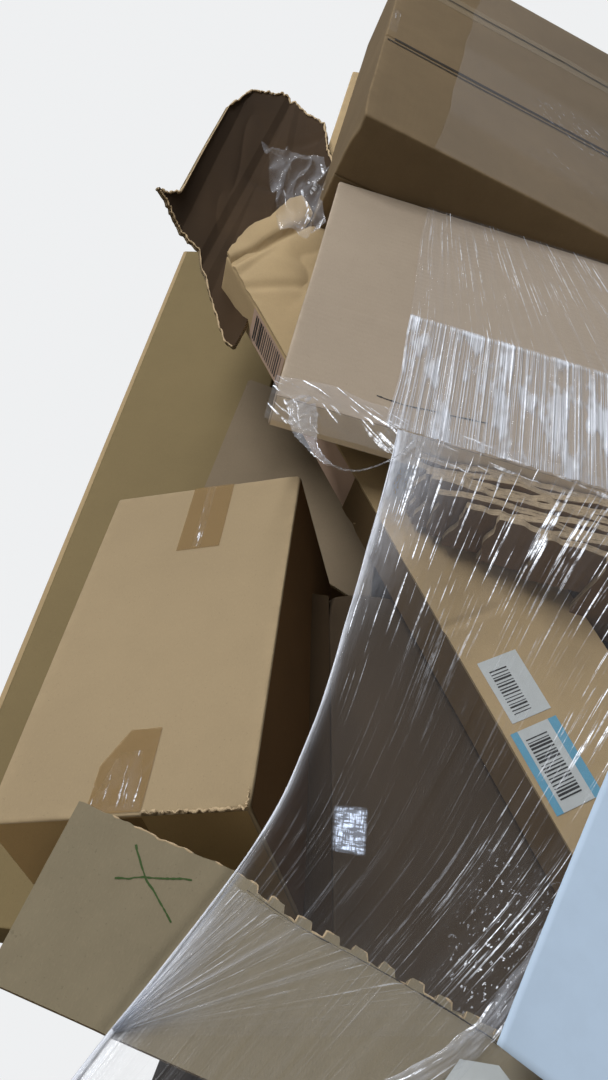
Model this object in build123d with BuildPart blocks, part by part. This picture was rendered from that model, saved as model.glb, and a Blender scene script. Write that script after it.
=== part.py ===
"""A stretch wrapped pallet load of used and torn cartons.

The load stands on a wooden stringer pallet. Two tiers of cartons carry a low torn tray, and loose
cartons lean and lie in and over it, held by winds of stretch film. Millimetres, +Z up. The origin is
the middle of the pallet on the floor, +X runs to the right along the front and the front faces -Y.
"""
import os
from math import radians, sin, tan

from build123d import *

os.makedirs("parts", exist_ok=True)

# What touches is left this far apart
SEAT = 0.3

# Corrugated board and film
WALL = 5.0
HEAVY_WALL = 7.0
CORNER = 3.0
FLAP_GAP = 2.0
FLAP_DEPTH = 3.0
FILM = 1.2
CARTON_GAP = 4.0

# Pallet
PALLET_LENGTH = 1219.0
PALLET_WIDTH = 1016.0
BOARD = 16.0
BOARD_WIDTH = 89.0
TOP_BOARD_COUNT = 7
BOTTOM_BOARD_COUNT = 5
STRINGER_COUNT = 3
STRINGER_HEIGHT = 89.0
STRINGER_WIDTH = 38.0

# Lower tiers
TIER_LENGTH = 1200.0
TIER_WIDTH = 1000.0
TIER_HEIGHT = 419.0
TIER_COLUMNS = 3
TIER_ROWS = 2
GROOVE_DEPTH = 12.0

# Torn tray at the front, on a crushed carton
TRAY_INSET = 65.0
TRAY_OVERHANG = 10.0
TRAY_RISE = 104.0
TRAY_TURN = 6.7
TRAY_DROP = 8.8
TRAY_LENGTH = 556.0
TRAY_DEPTH = 385.0
TRAY_WALL_HEIGHT = 97.0
TRAY_FREE_END = 125.0
CRUSHED_CARTON_INSET = 30.0
TEAR_PITCH = 17.5
TEAR_DEPTH = 4.0
TEAR_START = 116.0
TEAR_END = 272.0
TEAR_LINE = ((100.0, 97.0), (138.0, 89.0), (182.0, 86.0), (222.0, 82.0), (254.0, 78.0), (272.0, 74.0),
             (540.0, 76.0))
FILL_HEIGHT = 43.0
BED_HEIGHT = 30.0
BED_SLANT = 36.0

# Cartons in the tray: width, depth and height, then turn, lean back and lean to the side
TAPED_CARTON = (185.0, 150.0, 360.0)
TAPED_CARTON_LEAN = (-23.0, -10.0, -8.0)
TAPED_CARTON_FOOT = (13.5, 240.0)
TALL_CARTON = (200.0, 60.0, 1045.0)
TALL_CARTON_LEAN = (-12.0, 0.0, -2.0)
TALL_CARTON_OVERHANG = 135.0
TALL_CARTON_SETBACK = 325.0
DARK_CARTON = (330.0, 22.0, 356.0)
DARK_CARTON_SIDE_LEAN = -10.1
DARK_CARTON_SPOT = (210.0, 153.4)
LONG_CARTON = (138.0, 50.0, 921.0)
LONG_CARTON_LEAN = (5.0, 2.7, -36.4)
LONG_CARTON_SPOT = (501.4, 102.0)

# Loose panel that leans on the tall carton: its corners on the tall carton's face
LOOSE_PANEL = ((15.0, 502.0), (235.0, 360.0), (235.0, 640.0), (34.0, 726.0))

# Open flap on the long carton's front face, from the top left corner of that face
LONG_FLAP = ((2.0, 0.0), (24.0, 24.0), (49.0, 43.0), (83.0, 61.0), (116.0, 83.0), (134.0, 88.0), (138.0, 0.0))

# Torn flaps at the long carton's top: plan of the curved wall, and its outline seen from the front,
# both from the long carton's top left corner
FLAPS_PLAN = ((-98.0, -9.0), (2.0, 51.0), (99.0, -56.0))
FLAPS_OUTLINE = ((-91.0, 74.0), (-85.0, 114.0), (-82.0, 348.0), (-66.0, 441.0), (-21.0, 485.0),
                 (50.0, 402.0), (87.0, 226.0), (84.0, 112.0), (62.0, 88.0), (35.0, -100.0),
                 (21.0, -86.0), (-44.0, 50.0))

# Upper cartons
RIGHT_CARTON_HEIGHT = 505.0
FRONT_INSET = 10.0
BACK_DEPTH = 520.0
MIDDLE_GAP = 40.0
BACK_CARTON_INSET = 200.0
SHEET_COUNT = 9
SHEET = 8.0
SHEETS_FRONT_INSET = 40.0
SHEETS_DEPTH = 110.0
SHEETS_NOTCH = 52.0
SHEETS_NOTCH_SHIFT = 322.0
SHEETS_SHIFT = 137.0
SHEETS_TEAR = 165.0
SHEETS_WAVE = 4.0
SHEETS_STEPS = 24
WIDE_CARTON = (560.0, 40.0, 360.0)
WIDE_CARTON_INSET = 118.0
WIDE_CARTON_TURN = 4.5
WIDE_NEIGHBOUR = (515.0, 110.0)
REAR_CARTON_SHIFT = 40.0
TOP_CARTON = (500.0, 150.0, 204.0)
TOP_CARTON_SHIFT = 11.0
TOP_CARTON_OVERHANG = 79.0
TOP_CARTON_TURN = 14.0
UPPER_CARTON_HEIGHT = 320.0
NARROW_CARTON = (88.0, 640.0, 491.0)
NARROW_CARTON_EDGE = 79.0
NARROW_CARTON_TURN = -5.0
TOP_BACK_HEIGHT = 415.0

# Film winds
WRAP_START = 1.0
MAIN_WIND_OVERLAP = 100.0
# Left edge of the main wind, from the tray's left end and the top of the tiers
FILM_EDGE = ((-25.0, -100.0), (35.0, 26.0), (66.0, 93.0), (86.0, 133.0), (110.0, 184.0), (127.0, 228.0),
             (141.0, 304.0), (150.0, 403.0), (160.0, 519.0), (163.0, 600.0))
BACK_WIND_INSET = 220.0
BACK_WIND_SLANT = 60.0
BAND_START = 100.0
TOP_WIND_START = (85.0, 120.0)

# Sheet of paper on the main wind
PAPER = (210.0, 297.0, 0.5)
PAPER_TURN = -22.0
PAPER_CORNER = (258.0, 127.0)


def frame(origin, turn=0.0, back=0.0, side=0.0):
    """A plane that is turned about Z, then leaned back, then leaned to the side."""
    place = Location(origin) * Location((0, 0, 0), (0, 0, turn))
    place = place * Location((0, 0, 0), (back, 0, 0)) * Location((0, 0, 0), (0, side, 0))
    return Plane(place)


def upright(plane, setback=0.0):
    """The front face of a frame as a sketch plane, setback behind it. It looks to the front."""
    origin = plane.from_local_coords(Vector(0, setback, 0))
    return Plane(origin=origin, x_dir=plane.x_dir, z_dir=-plane.y_dir)


def carton(size, plane, start=0.0, soft_ends=False):
    """A closed carton with soft edges and the slit between its long flaps on both ends."""
    width, depth, height = size
    with BuildPart() as box:
        with BuildSketch(plane):
            with Locations((start + width / 2, depth / 2)):
                Rectangle(width, depth)
        extrude(amount=height)
        if soft_ends:
            fillet(box.edges(), CORNER)
        else:
            fillet(box.edges().filter_by(Axis(plane.origin, plane.z_dir)), CORNER)
        for level in (0.0, height - FLAP_DEPTH):
            with BuildSketch(plane.offset(level)):
                with Locations((start + width / 2, depth / 2)):
                    Rectangle(width, FLAP_GAP)
            extrude(amount=FLAP_DEPTH, mode=Mode.SUBTRACT)
    return box.part


def save(part, name):
    part.label = name
    export_step(part, f"parts/{name}.step")


# Pallet: stringers between two rows of boards
pallet_top = STRINGER_HEIGHT + 2 * BOARD
with BuildPart() as pallet_stringers:
    with BuildSketch(Plane.XY.offset(BOARD)):
        with GridLocations(1, (PALLET_WIDTH - STRINGER_WIDTH) / (STRINGER_COUNT - 1), 1, STRINGER_COUNT):
            Rectangle(PALLET_LENGTH, STRINGER_WIDTH)
    extrude(amount=STRINGER_HEIGHT)
save(pallet_stringers.part, "pallet_stringers")


def pallet_boards(level, count):
    with BuildPart() as boards:
        with BuildSketch(Plane.XY.offset(level)):
            with GridLocations((PALLET_LENGTH - BOARD_WIDTH) / (count - 1), 1, count, 1):
                Rectangle(BOARD_WIDTH, PALLET_WIDTH)
        extrude(amount=BOARD)
    return boards.part


save(pallet_boards(BOARD + STRINGER_HEIGHT, TOP_BOARD_COUNT), "pallet_top_boards")
save(pallet_boards(0.0, BOTTOM_BOARD_COUNT), "pallet_bottom_boards")


# Lower tiers: one solid for each tier, with the gaps between its cartons cut in
def tier(level):
    column = TIER_LENGTH / TIER_COLUMNS
    row = TIER_WIDTH / TIER_ROWS
    with BuildPart() as cartons:
        with BuildSketch(Plane.XY.offset(level)):
            RectangleRounded(TIER_LENGTH, TIER_WIDTH, CORNER)
            for number in range(1, TIER_COLUMNS):
                x = number * column - TIER_LENGTH / 2
                with Locations((x, TIER_WIDTH / 2), (x, -TIER_WIDTH / 2)):
                    Rectangle(CARTON_GAP, 2 * GROOVE_DEPTH, mode=Mode.SUBTRACT)
            for number in range(1, TIER_ROWS):
                y = number * row - TIER_WIDTH / 2
                with Locations((TIER_LENGTH / 2, y), (-TIER_LENGTH / 2, y)):
                    Rectangle(2 * GROOVE_DEPTH, CARTON_GAP, mode=Mode.SUBTRACT)
        extrude(amount=TIER_HEIGHT)
    return cartons.part


save(tier(pallet_top), "lower_tier")
save(tier(pallet_top + TIER_HEIGHT), "middle_tier")
tiers_top = pallet_top + 2 * TIER_HEIGHT
tier_left = -TIER_LENGTH / 2
tier_right = TIER_LENGTH / 2
tier_front = -TIER_WIDTH / 2
tier_back = TIER_WIDTH / 2

# Torn tray: the front wall runs past the torn off left end, its top edge torn along a perforation
tray_left = tier_left + TRAY_INSET
tray = frame((tray_left, tier_front - TRAY_OVERHANG, tiers_top + TRAY_RISE), TRAY_TURN, 0.0, TRAY_DROP)


def on_tray(x, y, z):
    """A point of the tray's own frame, in the load's frame."""
    return tray.from_local_coords(Vector(x, y, z))


tear_count = int((TEAR_END - TEAR_START) / TEAR_PITCH)


def tear_height(x):
    """Height of the front wall's torn top edge at a place along it."""
    for (x0, z0), (x1, z1) in zip(TEAR_LINE, TEAR_LINE[1:]):
        if x0 <= x <= x1:
            return z0 + (z1 - z0) * (x - x0) / (x1 - x0)
    return TRAY_WALL_HEIGHT


tear_places = [TEAR_START + TEAR_PITCH * number for number in range(tear_count)]
with BuildPart() as torn_tray:
    with BuildSketch(tray):
        with Locations(((TRAY_FREE_END + TRAY_LENGTH) / 2, TRAY_DEPTH / 2)):
            Rectangle(TRAY_LENGTH - TRAY_FREE_END, TRAY_DEPTH)
    extrude(amount=WALL)
    with BuildSketch(tray):
        with Locations((TRAY_LENGTH / 2, HEAVY_WALL / 2)):
            Rectangle(TRAY_LENGTH, HEAVY_WALL)
        with Locations((TRAY_LENGTH - HEAVY_WALL / 2, TRAY_DEPTH / 2)):
            Rectangle(HEAVY_WALL, TRAY_DEPTH)
    extrude(amount=TRAY_WALL_HEIGHT)
    with BuildSketch(upright(tray)):
        with BuildLine():
            Polyline(*TEAR_LINE, (TRAY_LENGTH, TEAR_LINE[-1][1]), (TRAY_LENGTH, 2 * TRAY_WALL_HEIGHT),
                     (TEAR_LINE[0][0], 2 * TRAY_WALL_HEIGHT), close=True)
        make_face()
        with Locations(*[(x, tear_height(x)) for x in tear_places]):
            Rectangle(TEAR_PITCH / 2, 2 * TEAR_DEPTH)
    extrude(amount=-HEAVY_WALL, mode=Mode.SUBTRACT)
save(torn_tray.part, "torn_tray")

inner_front = HEAVY_WALL + SEAT
inner_end = TRAY_LENGTH - HEAVY_WALL - SEAT
with BuildPart() as tray_fill:
    with BuildSketch(tray.offset(WALL + SEAT)):
        with Locations(((TRAY_FREE_END + inner_end) / 2, (inner_front + TRAY_DEPTH) / 2)):
            Rectangle(inner_end - TRAY_FREE_END, TRAY_DEPTH - inner_front)
    extrude(amount=FILL_HEIGHT)
save(tray_fill.part, "tray_fill")

# Flattened sheets that cover the fill and stick out to the left
bed_bottom = WALL + FILL_HEIGHT + 2 * SEAT
bed_top = bed_bottom + BED_HEIGHT
with BuildPart() as sheet_bed:
    with BuildSketch(tray.offset(bed_bottom)):
        with BuildLine():
            Polyline((0, inner_front), (inner_end, inner_front), (inner_end, TRAY_DEPTH),
                     (-BED_SLANT, TRAY_DEPTH), close=True)
        make_face()
    extrude(amount=BED_HEIGHT)
save(sheet_bed.part, "sheet_bed")

# Crushed carton under the tray: level below, crushed to the tray's slope above
crushed_right = TRAY_LENGTH - CRUSHED_CARTON_INSET
level_tray = frame((tray.origin.X, tray.origin.Y, tiers_top), TRAY_TURN)


def under_tray(x):
    return TRAY_RISE - SEAT - x * tan(radians(TRAY_DROP))


with BuildPart() as crushed_carton:
    with BuildSketch(upright(level_tray)):
        with BuildLine():
            Polyline((TRAY_FREE_END, 0), (crushed_right, 0), (crushed_right, under_tray(crushed_right)),
                     (TRAY_FREE_END, under_tray(TRAY_FREE_END)), close=True)
        make_face()
    extrude(amount=-TRAY_DEPTH)
save(crushed_carton.part, "crushed_carton")


# Cartons that stand in the tray on an edge or a corner
def stand_on_bed(spot, lean, corner=(0.0, 0.0)):
    """A frame whose rounded bottom corner stands on the sheets, at a spot of the tray's own frame."""
    leaned = frame((0, 0, 0), *lean)
    up = tray.z_dir
    sides = abs(up.dot(leaned.x_dir)) + abs(up.dot(leaned.y_dir)) + abs(up.dot(leaned.z_dir))
    rounding = CORNER * (sides - 1)
    offset = leaned.from_local_coords(Vector(*corner, 0))
    place = on_tray(*spot, bed_top + SEAT - rounding) - offset
    return frame((place.X, place.Y, place.Z), *lean)


taped_frame = stand_on_bed(TAPED_CARTON_FOOT, TAPED_CARTON_LEAN, (0.0, TAPED_CARTON[1]))
save(carton(TAPED_CARTON, taped_frame, soft_ends=True), "taped_carton")

dark_frame = stand_on_bed(DARK_CARTON_SPOT, (TRAY_TURN, 0.0, DARK_CARTON_SIDE_LEAN))
save(carton(DARK_CARTON, dark_frame, soft_ends=True), "dark_carton")

long_frame = stand_on_bed(LONG_CARTON_SPOT, LONG_CARTON_LEAN)
save(carton(LONG_CARTON, long_frame, soft_ends=True), "long_carton")

# Tall flat carton that hangs over the left edge of the sheets, and stands on that edge
tall_normal = frame((0, 0, 0), *TALL_CARTON_LEAN).z_dir
tall_spot = on_tray(0, TALL_CARTON_SETBACK, bed_top)
sheet_edge = on_tray(-BED_SLANT, TRAY_DEPTH, bed_top)
tall_spot = tall_spot + tall_normal * (max(0.0, (sheet_edge - tall_spot).dot(tall_normal)) + SEAT)
tall_frame = frame((tall_spot.X, tall_spot.Y, tall_spot.Z), *TALL_CARTON_LEAN)
save(carton(TALL_CARTON, tall_frame, -TALL_CARTON_OVERHANG), "tall_carton")

with BuildPart() as loose_panel:
    with BuildSketch(upright(tall_frame, -SEAT)):
        with BuildLine():
            Polyline(*LOOSE_PANEL, close=True)
        make_face()
    extrude(amount=WALL)
save(loose_panel.part, "loose_panel")


# Stack of flattened sheets with torn left ends, on the right carton
right_top = tiers_top + RIGHT_CARTON_HEIGHT
wide_corner = (tier_left + WIDE_CARTON_INSET, tier_front + FRONT_INSET)
notch_edge = wide_corner[0] + SHEETS_NOTCH_SHIFT
sheets_front = tier_front + SHEETS_FRONT_INSET


def torn_wave(step, number):
    return SHEETS_WAVE * (sin(1.7 * step + 2.3 * number) + sin(3.9 * step + 1.1 * number) / 2)


with BuildPart() as sheet_stack:
    for number in range(SHEET_COUNT):
        height = number / (SHEET_COUNT - 1)
        left = wide_corner[0] + SHEETS_SHIFT + SHEETS_TEAR * (1 - height) ** 3
        back = sheets_front + SHEETS_DEPTH - SHEETS_NOTCH
        torn = [(left + torn_wave(step, number), sheets_front + (back - sheets_front) * step / 8)
                for step in range(9)]
        front = [(tier_right + (left - tier_right) * step / SHEETS_STEPS,
                  sheets_front + torn_wave(step + 5, number)) for step in range(SHEETS_STEPS)]
        with BuildSketch(Plane.XY.offset(right_top + SEAT + number * (SHEET + SEAT))):
            with BuildLine():
                Polyline(*torn, (notch_edge, back), (notch_edge, back + SHEETS_NOTCH),
                         (tier_right, back + SHEETS_NOTCH), *front, close=True)
            make_face()
        extrude(amount=SHEET)
save(sheet_stack.part, "sheet_stack")

# Wide flat carton on the sheets, and its neighbour in the same row
wide_bottom = right_top + SEAT + SHEET_COUNT * (SHEET + SEAT)
wide_top = wide_bottom + WIDE_CARTON[2]
wide_frame = frame((*wide_corner, wide_bottom), WIDE_CARTON_TURN)
neighbour_start = WIDE_CARTON[0] + CARTON_GAP
neighbour_end = neighbour_start + WIDE_NEIGHBOUR[0]
save(carton(WIDE_CARTON, wide_frame, soft_ends=True), "wide_carton")
save(carton((*WIDE_NEIGHBOUR, WIDE_CARTON[2]), wide_frame, neighbour_start), "wide_neighbour")

# Top cartons, and the narrow carton that stands behind them
top_corner = (wide_corner[0] + TOP_CARTON_SHIFT, wide_corner[1] - TOP_CARTON_OVERHANG)
top_frame = frame((*top_corner, wide_top + SEAT), TOP_CARTON_TURN)
upper_frame = top_frame.offset(TOP_CARTON[2] + SEAT)
save(carton(TOP_CARTON, top_frame), "top_carton_lower")
save(carton((TOP_CARTON[0], TOP_CARTON[1], UPPER_CARTON_HEIGHT), upper_frame), "top_carton_upper")

top_back = top_frame.from_local_coords(Vector(0, TOP_CARTON[1], 0))
narrow_right = tier_left + NARROW_CARTON_EDGE + NARROW_CARTON[0]
narrow_front = top_back.Y + (narrow_right - top_back.X) * tan(radians(TOP_CARTON_TURN)) + SEAT
narrow_turn = frame((0, 0, 0), NARROW_CARTON_TURN).x_dir * NARROW_CARTON[0]
narrow_frame = frame((narrow_right - narrow_turn.X, narrow_front - narrow_turn.Y, wide_top + SEAT),
                     NARROW_CARTON_TURN)
save(carton(NARROW_CARTON, narrow_frame), "narrow_carton")

# Open flap that goes on from the long carton's front face
flap_plane = upright(long_frame.offset(LONG_CARTON[2] + SEAT))
with BuildPart() as long_flap:
    with BuildSketch(flap_plane):
        with BuildLine():
            Polyline(*LONG_FLAP, close=True)
        make_face()
    extrude(amount=-WALL)
    with BuildSketch(top_frame):
        with Locations((TOP_CARTON[0] / 2, TOP_CARTON[1] / 2)):
            Rectangle(TOP_CARTON[0] + 2 * SEAT, TOP_CARTON[1] + 2 * SEAT)
    extrude(amount=TOP_CARTON[2], mode=Mode.SUBTRACT)
save(long_flap.part, "long_flap")

# Torn flaps, a curved wall of board that stands round the long carton's top
flaps_corner = long_frame.from_local_coords(Vector(0, 0, LONG_CARTON[2]))
flaps_plan = [(flaps_corner.X + x, flaps_corner.Y + y) for x, y in FLAPS_PLAN]
flaps_outline = [(flaps_corner.X + x, flaps_corner.Z + z) for x, z in FLAPS_OUTLINE]
flaps_low = min(z for x, z in flaps_outline)
flaps_high = max(z for x, z in flaps_outline)
with BuildPart() as torn_flaps:
    with BuildSketch(Plane.XY.offset(flaps_low)):
        with BuildLine():
            ThreePointArc(*flaps_plan)
        trace(line_width=WALL)
    extrude(amount=flaps_high - flaps_low)
    with BuildSketch(Plane.XZ):
        with BuildLine():
            Polyline(*flaps_outline, close=True)
        make_face()
    extrude(amount=TIER_WIDTH, mode=Mode.INTERSECT)
    with BuildSketch(long_frame):
        with Locations((LONG_CARTON[0] / 2, LONG_CARTON[1] / 2)):
            Rectangle(LONG_CARTON[0] + 2 * SEAT, LONG_CARTON[1] + 2 * SEAT)
    extrude(amount=LONG_CARTON[2] + SEAT, mode=Mode.SUBTRACT)
    with BuildSketch(flap_plane.offset(SEAT)):
        with BuildLine():
            Polyline((0, -SEAT), (LONG_CARTON[0], -SEAT), (LONG_CARTON[0], LONG_FLAP[-2][1] + WALL),
                     (LONG_FLAP[0][0], LONG_FLAP[1][1] + WALL), close=True)
        make_face()
    extrude(amount=-WALL - 2 * SEAT, mode=Mode.SUBTRACT)
    with BuildSketch(top_frame):
        with Locations((TOP_CARTON[0] / 2, TOP_CARTON[1] / 2)):
            Rectangle(TOP_CARTON[0] + 2 * SEAT, TOP_CARTON[1] + 2 * SEAT)
    extrude(amount=TOP_CARTON[2] + UPPER_CARTON_HEIGHT, mode=Mode.SUBTRACT)
save(torn_flaps.part, "torn_flaps")


# Plain cartons to the right and behind
def blocks(level, height, plans):
    """Upright cartons on one level, each given by its left, front, right and back edge."""
    with BuildPart() as row:
        with BuildSketch(Plane.XY.offset(level)):
            for left, front, right, back in plans:
                with Locations(((left + right) / 2, (front + back) / 2)):
                    RectangleRounded(right - left, back - front, CORNER)
        extrude(amount=height)
    return row.part


def pair(left):
    """Two cartons side by side in the back row, from a left edge to the right end."""
    middle = (left + tier_right) / 2
    return ((left, back_start, middle - CARTON_GAP / 2, tier_back),
            (middle + CARTON_GAP / 2, back_start, tier_right, tier_back))


back_start = tier_back - BACK_DEPTH
middle_edge = back_start - MIDDLE_GAP
long_right = max(long_frame.from_local_coords(Vector(LONG_CARTON[0], y, 0)).X for y in (0, LONG_CARTON[1]))
right_edge = max(long_right, on_tray(TRAY_LENGTH, 0, TRAY_WALL_HEIGHT).X) + CARTON_GAP
rear_edge = right_edge - REAR_CARTON_SHIFT
rear_front = wide_frame.from_local_coords(Vector(neighbour_end, WIDE_NEIGHBOUR[1], 0)).Y + CARTON_GAP
narrow_rear = narrow_frame.from_local_coords(Vector(NARROW_CARTON[0], NARROW_CARTON[1], 0)).X
save(blocks(tiers_top, RIGHT_CARTON_HEIGHT, [(right_edge, tier_front + FRONT_INSET, tier_right,
                                              middle_edge)]), "right_carton")
save(blocks(tiers_top, RIGHT_CARTON_HEIGHT, pair(tier_left + BACK_CARTON_INSET)), "back_carton_lower")
save(blocks(right_top, wide_top - right_top, pair(tier_left)), "back_carton_upper")
save(blocks(right_top, wide_top - right_top, [(rear_edge, rear_front, tier_right,
                                               middle_edge)]), "rear_right_carton")
save(blocks(wide_top, TOP_BACK_HEIGHT, pair(narrow_rear + CARTON_GAP)), "top_back_carton")
save(blocks(wide_top, TOP_BACK_HEIGHT, [(rear_edge, rear_front, tier_right,
                                         middle_edge)]), "top_right_carton")


# Lower wind of film round both tiers
def ring(inner, outer):
    """The plan of a wind of film, between two distances from the tiers."""
    RectangleRounded(TIER_LENGTH + 2 * outer, TIER_WIDTH + 2 * outer, CORNER + outer)
    RectangleRounded(TIER_LENGTH + 2 * inner, TIER_WIDTH + 2 * inner, CORNER + inner, mode=Mode.SUBTRACT)


wind_bottom = pallet_top + WRAP_START
with BuildPart() as wrap_lower:
    with BuildSketch(Plane.XY.offset(wind_bottom)):
        ring(SEAT, SEAT + FILM)
    extrude(amount=tiers_top - wind_bottom)
save(wrap_lower.part, "wrap_lower")

# Main wind round the front, the right end and the back, outside the lower wind and the tray
main_bottom = tiers_top - MAIN_WIND_OVERLAP
main_top = wide_top + TOP_BACK_HEIGHT
film_edge = [(tray_left + x, tiers_top + z) for x, z in FILM_EDGE]
tray_at_edge = tray.origin.Y + (film_edge[2][0] - tray_left) * tan(radians(TRAY_TURN))
main_inner = max(tier_front - tray_at_edge, SEAT + FILM) + SEAT
main_front = tier_front - main_inner - FILM
back_wind_end = tier_left + BACK_WIND_INSET
with BuildPart() as wrap_main:
    with BuildSketch(Plane.XY.offset(main_bottom)):
        ring(main_inner, main_inner + FILM)
    extrude(amount=main_top - main_bottom)
    with BuildSketch(Plane.XZ):
        with BuildLine():
            Spline(*film_edge)
            Polyline(film_edge[-1], (film_edge[-1][0], wide_bottom), (2 * tier_right, wide_bottom),
                     (2 * tier_right, 2 * main_top), (2 * tier_left, 2 * main_top), (2 * tier_left, 0),
                     (film_edge[0][0], 0), film_edge[0])
        make_face()
    extrude(amount=TIER_WIDTH, mode=Mode.SUBTRACT)
    with BuildSketch(Plane.XZ):
        with BuildLine():
            Polyline((2 * tier_left, 0), (back_wind_end - BACK_WIND_SLANT, 0),
                     (back_wind_end + BACK_WIND_SLANT, 2 * main_top), (2 * tier_left, 2 * main_top),
                     close=True)
        make_face()
    extrude(amount=-TIER_WIDTH, mode=Mode.SUBTRACT)
save(wrap_main.part, "wrap_main")

# Band of film over the wide carton and its neighbour
with BuildPart() as wrap_band:
    with BuildSketch(upright(wide_frame, -SEAT)):
        with Locations(((BAND_START + neighbour_end) / 2, WIDE_CARTON[2] / 2)):
            Rectangle(neighbour_end - BAND_START, WIDE_CARTON[2])
    extrude(amount=FILM)
save(wrap_band.part, "wrap_band")

# Film over the top cartons, with a slanting left edge
top_height = TOP_CARTON[2] + SEAT + UPPER_CARTON_HEIGHT
with BuildPart() as wrap_top:
    with BuildSketch(upright(top_frame, -SEAT)):
        with BuildLine():
            Polyline((TOP_WIND_START[0], 0), (TOP_CARTON[0], 0), (TOP_CARTON[0], top_height),
                     (TOP_WIND_START[1], top_height), close=True)
        make_face()
    extrude(amount=FILM)
save(wrap_top.part, "wrap_top")

# Sheet of paper
with BuildPart() as paper_sheet:
    with BuildSketch(Plane.XZ.offset(SEAT - main_front)):
        with Locations((tray_left + PAPER_CORNER[0], tiers_top + PAPER_CORNER[1])):
            Rectangle(PAPER[0], PAPER[1], rotation=PAPER_TURN, align=(Align.MIN, Align.MIN))
    extrude(amount=PAPER[2])
save(paper_sheet.part, "paper_sheet")
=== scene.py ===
"""Looks of the stretch wrapped pallet load: board, film, tape, paper and wood, in metres."""
import math

import bmesh
import bpy
import numpy as np
from mathutils import Matrix, Vector


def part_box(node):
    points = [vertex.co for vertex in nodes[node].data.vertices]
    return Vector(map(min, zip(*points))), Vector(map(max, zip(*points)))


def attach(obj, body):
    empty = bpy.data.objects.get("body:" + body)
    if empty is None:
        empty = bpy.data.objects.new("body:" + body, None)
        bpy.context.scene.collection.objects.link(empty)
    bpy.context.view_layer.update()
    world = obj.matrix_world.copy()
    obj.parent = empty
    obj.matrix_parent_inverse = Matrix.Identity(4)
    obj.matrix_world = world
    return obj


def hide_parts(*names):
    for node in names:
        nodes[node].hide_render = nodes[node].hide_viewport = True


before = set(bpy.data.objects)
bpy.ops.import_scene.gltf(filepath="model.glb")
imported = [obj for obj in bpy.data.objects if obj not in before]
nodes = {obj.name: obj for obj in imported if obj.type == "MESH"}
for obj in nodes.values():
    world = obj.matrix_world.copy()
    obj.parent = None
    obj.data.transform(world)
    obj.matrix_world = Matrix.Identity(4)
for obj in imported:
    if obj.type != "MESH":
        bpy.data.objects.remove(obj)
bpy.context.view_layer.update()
MM = 0.001


# Small helpers


def linear(red, green, blue):
    """A colour given as 0 to 255 values, in the renderer's own linear units."""
    out = []
    for value in (red, green, blue):
        value = value / 255
        out.append(value / 12.92 if value <= 0.04045 else ((value + 0.055) / 1.055) ** 2.4)
    return (*out, 1.0)


def smooth(edge0, edge1, value):
    t = np.clip((value - edge0) / (edge1 - edge0), 0, 1)
    return t * t * (3 - 2 * t)


TABLE_SIZE = 256


def noise2(u, v, seed=0):
    """Smooth value noise from -1 to 1 on arrays, with one cell to each unit."""
    table = np.random.RandomState(seed).uniform(-1, 1, (TABLE_SIZE, TABLE_SIZE))
    u, v = np.broadcast_arrays(np.asarray(u, float), np.asarray(v, float))
    cell_u = np.floor(u)
    cell_v = np.floor(v)
    part_u = smooth(0, 1, u - cell_u)
    part_v = smooth(0, 1, v - cell_v)
    i = cell_u.astype(int) % TABLE_SIZE
    j = cell_v.astype(int) % TABLE_SIZE
    i2 = (i + 1) % TABLE_SIZE
    j2 = (j + 1) % TABLE_SIZE
    low = table[i, j] * (1 - part_u) + table[i2, j] * part_u
    high = table[i, j2] * (1 - part_u) + table[i2, j2] * part_u
    return low * (1 - part_v) + high * part_v


def ridges(u, v, seed=0):
    """Sharp creases: 1 on the crease line and 0 between creases."""
    return (1 - np.abs(noise2(u, v, seed))) ** 3


def join(*values):
    """Arrays side by side along a new last axis."""
    return np.stack(np.broadcast_arrays(*values), axis=-1)


def lattice(rows, columns):
    return np.meshgrid(rows, columns, indexing="ij")


def new_mesh(name, verts, faces, material, uv=None, dense=0.0, smooth_shade=True, weight=1.0):
    """A piece from points in metres, with a place on the material for each point."""
    mesh = bpy.data.meshes.new(name)
    mesh.from_pydata([tuple(p) for p in verts], [], faces)
    mesh.update()
    if uv is not None:
        layer = mesh.uv_layers.new(name="UVMap")
        index = np.empty(len(mesh.loops), int)
        mesh.loops.foreach_get("vertex_index", index)
        layer.data.foreach_set("uv", np.asarray(uv, float)[index].ravel())
    for label, values in (("dense", dense), ("weight", weight)):
        layer = mesh.attributes.new(label, "FLOAT", "POINT")
        layer.data.foreach_set("value", np.broadcast_to(np.asarray(values, float), len(verts)).copy())
    mesh.polygons.foreach_set("use_smooth", [smooth_shade] * len(mesh.polygons))
    mesh.materials.append(material)
    piece = bpy.data.objects.new(name, mesh)
    bpy.context.scene.collection.objects.link(piece)
    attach(piece, "root")
    return piece


def grid_faces(rows, columns, start=0):
    index = np.arange(rows * columns).reshape(rows, columns) + start
    a = index[:-1, :-1].ravel()
    b = index[:-1, 1:].ravel()
    c = index[1:, 1:].ravel()
    d = index[1:, :-1].ravel()
    return [tuple(int(n) for n in quad) for quad in zip(a, b, c, d)]


def thicken(piece, thickness):
    """Gives an open sheet its thickness, applied to the mesh."""
    solid = piece.modifiers.new("solid", "SOLIDIFY")
    solid.thickness = thickness
    solid.offset = -1.0
    bpy.context.view_layer.objects.active = piece
    bpy.ops.object.select_all(action="DESELECT")
    piece.select_set(True)
    bpy.ops.object.modifier_apply(modifier="solid")


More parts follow.
